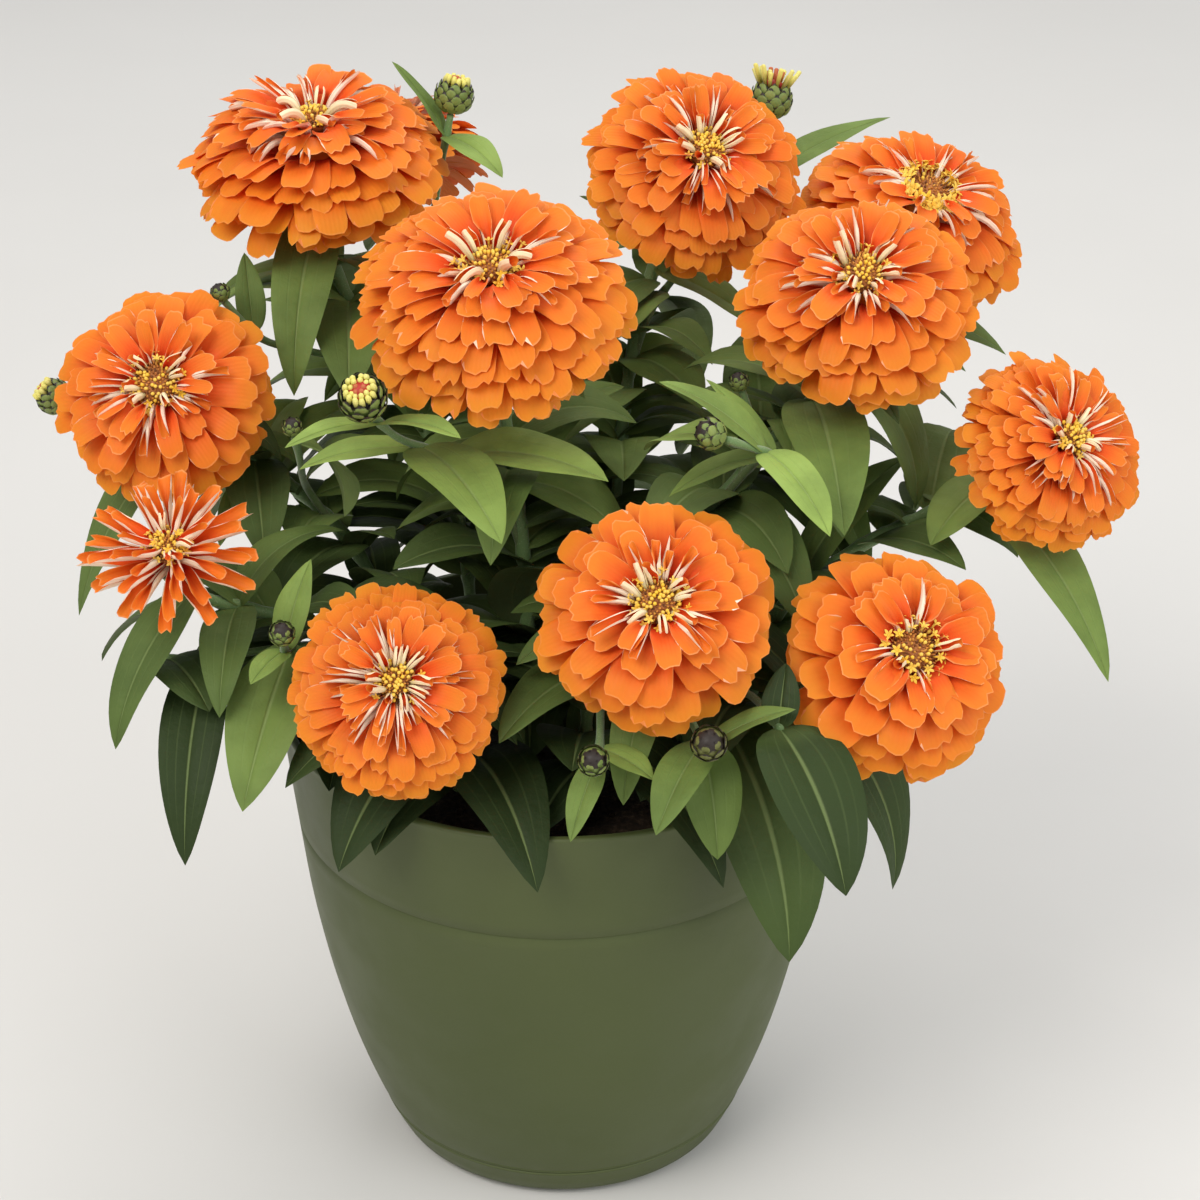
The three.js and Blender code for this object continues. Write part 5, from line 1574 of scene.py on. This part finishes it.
def stage_pieces():
    mesh = bpy.data.meshes.new("floor")
    corners = [(x * FLOOR_HALF, y * FLOOR_HALF, 0) for x, y in ((-1, -1), (1, -1), (1, 1), (-1, 1))]
    mesh.from_pydata(corners, [], [(0, 1, 2, 3)])
    mesh.materials.append(floor_material())
    placed("floor", mesh)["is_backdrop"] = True


def area_light(name, place, size, power, colour):
    data = bpy.data.lights.new(name, "AREA")
    data.shape = "DISK"
    data.size = size
    data.energy = power
    data.color = colour
    made = placed(name, data)
    made.location = place
    aim = Vector(LIGHTS_AIM) - Vector(place)
    made.rotation_euler = aim.to_track_quat("-Z", "Y").to_euler()


def lights():
    for name, light in LIGHTS.items():
        area_light(name, *light)
    world = bpy.data.worlds.new("studio")
    world.use_nodes = True
    background = world.node_tree.nodes["Background"]
    background.inputs["Color"].default_value = WORLD_COLOUR
    background.inputs["Strength"].default_value = WORLD_STRENGTH
    bpy.context.scene.world = world


def camera():
    data = bpy.data.cameras.new("camera")
    data.lens = CAMERA_LENS
    data.sensor_width = CAMERA_SENSOR
    made = placed("camera", data)
    made.location = CAMERA_PLACE
    made.rotation_euler = (math.radians(90 - CAMERA_PITCH), 0, 0)
    bpy.context.scene.camera = made


camera()
lights()
stage_pieces()
bpy.context.scene.view_settings.view_transform = "Standard"

PLASTIC = plastic_material()
SOIL = soil_material()
LEAF_FACE = leaf_material("leaf_face", back=False)
LEAF_BACK = leaf_material("leaf_back", back=True)
STEM = stem_material()
PETAL_FACE = petal_face_material()
PETAL_BACK = petal_back_material()
FLORET = floret_material()
CONE = cone_material()
SCALE = scale_material()
CROWN = crown_material()

saucer_piece()
pot_piece()
soil_piece()
routes, leaves = plant_plan()
for name in STEMS:
    foliage_piece(name, routes, leaves)
for name, bloom in BLOOMS.items():
    petals_piece(name, bloom)
    disc_piece(name, bloom)
for letter, shoot in SHOOTS.items():
    if "radius" in shoot:
        bud_piece(letter, shoot)
    if "crown" in shoot:
        crown_piece(letter, shoot)

boxes = {"cad": cad_box, "visual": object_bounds()}
{key: [list(corner) for corner in box] for key, box in boxes.items()}
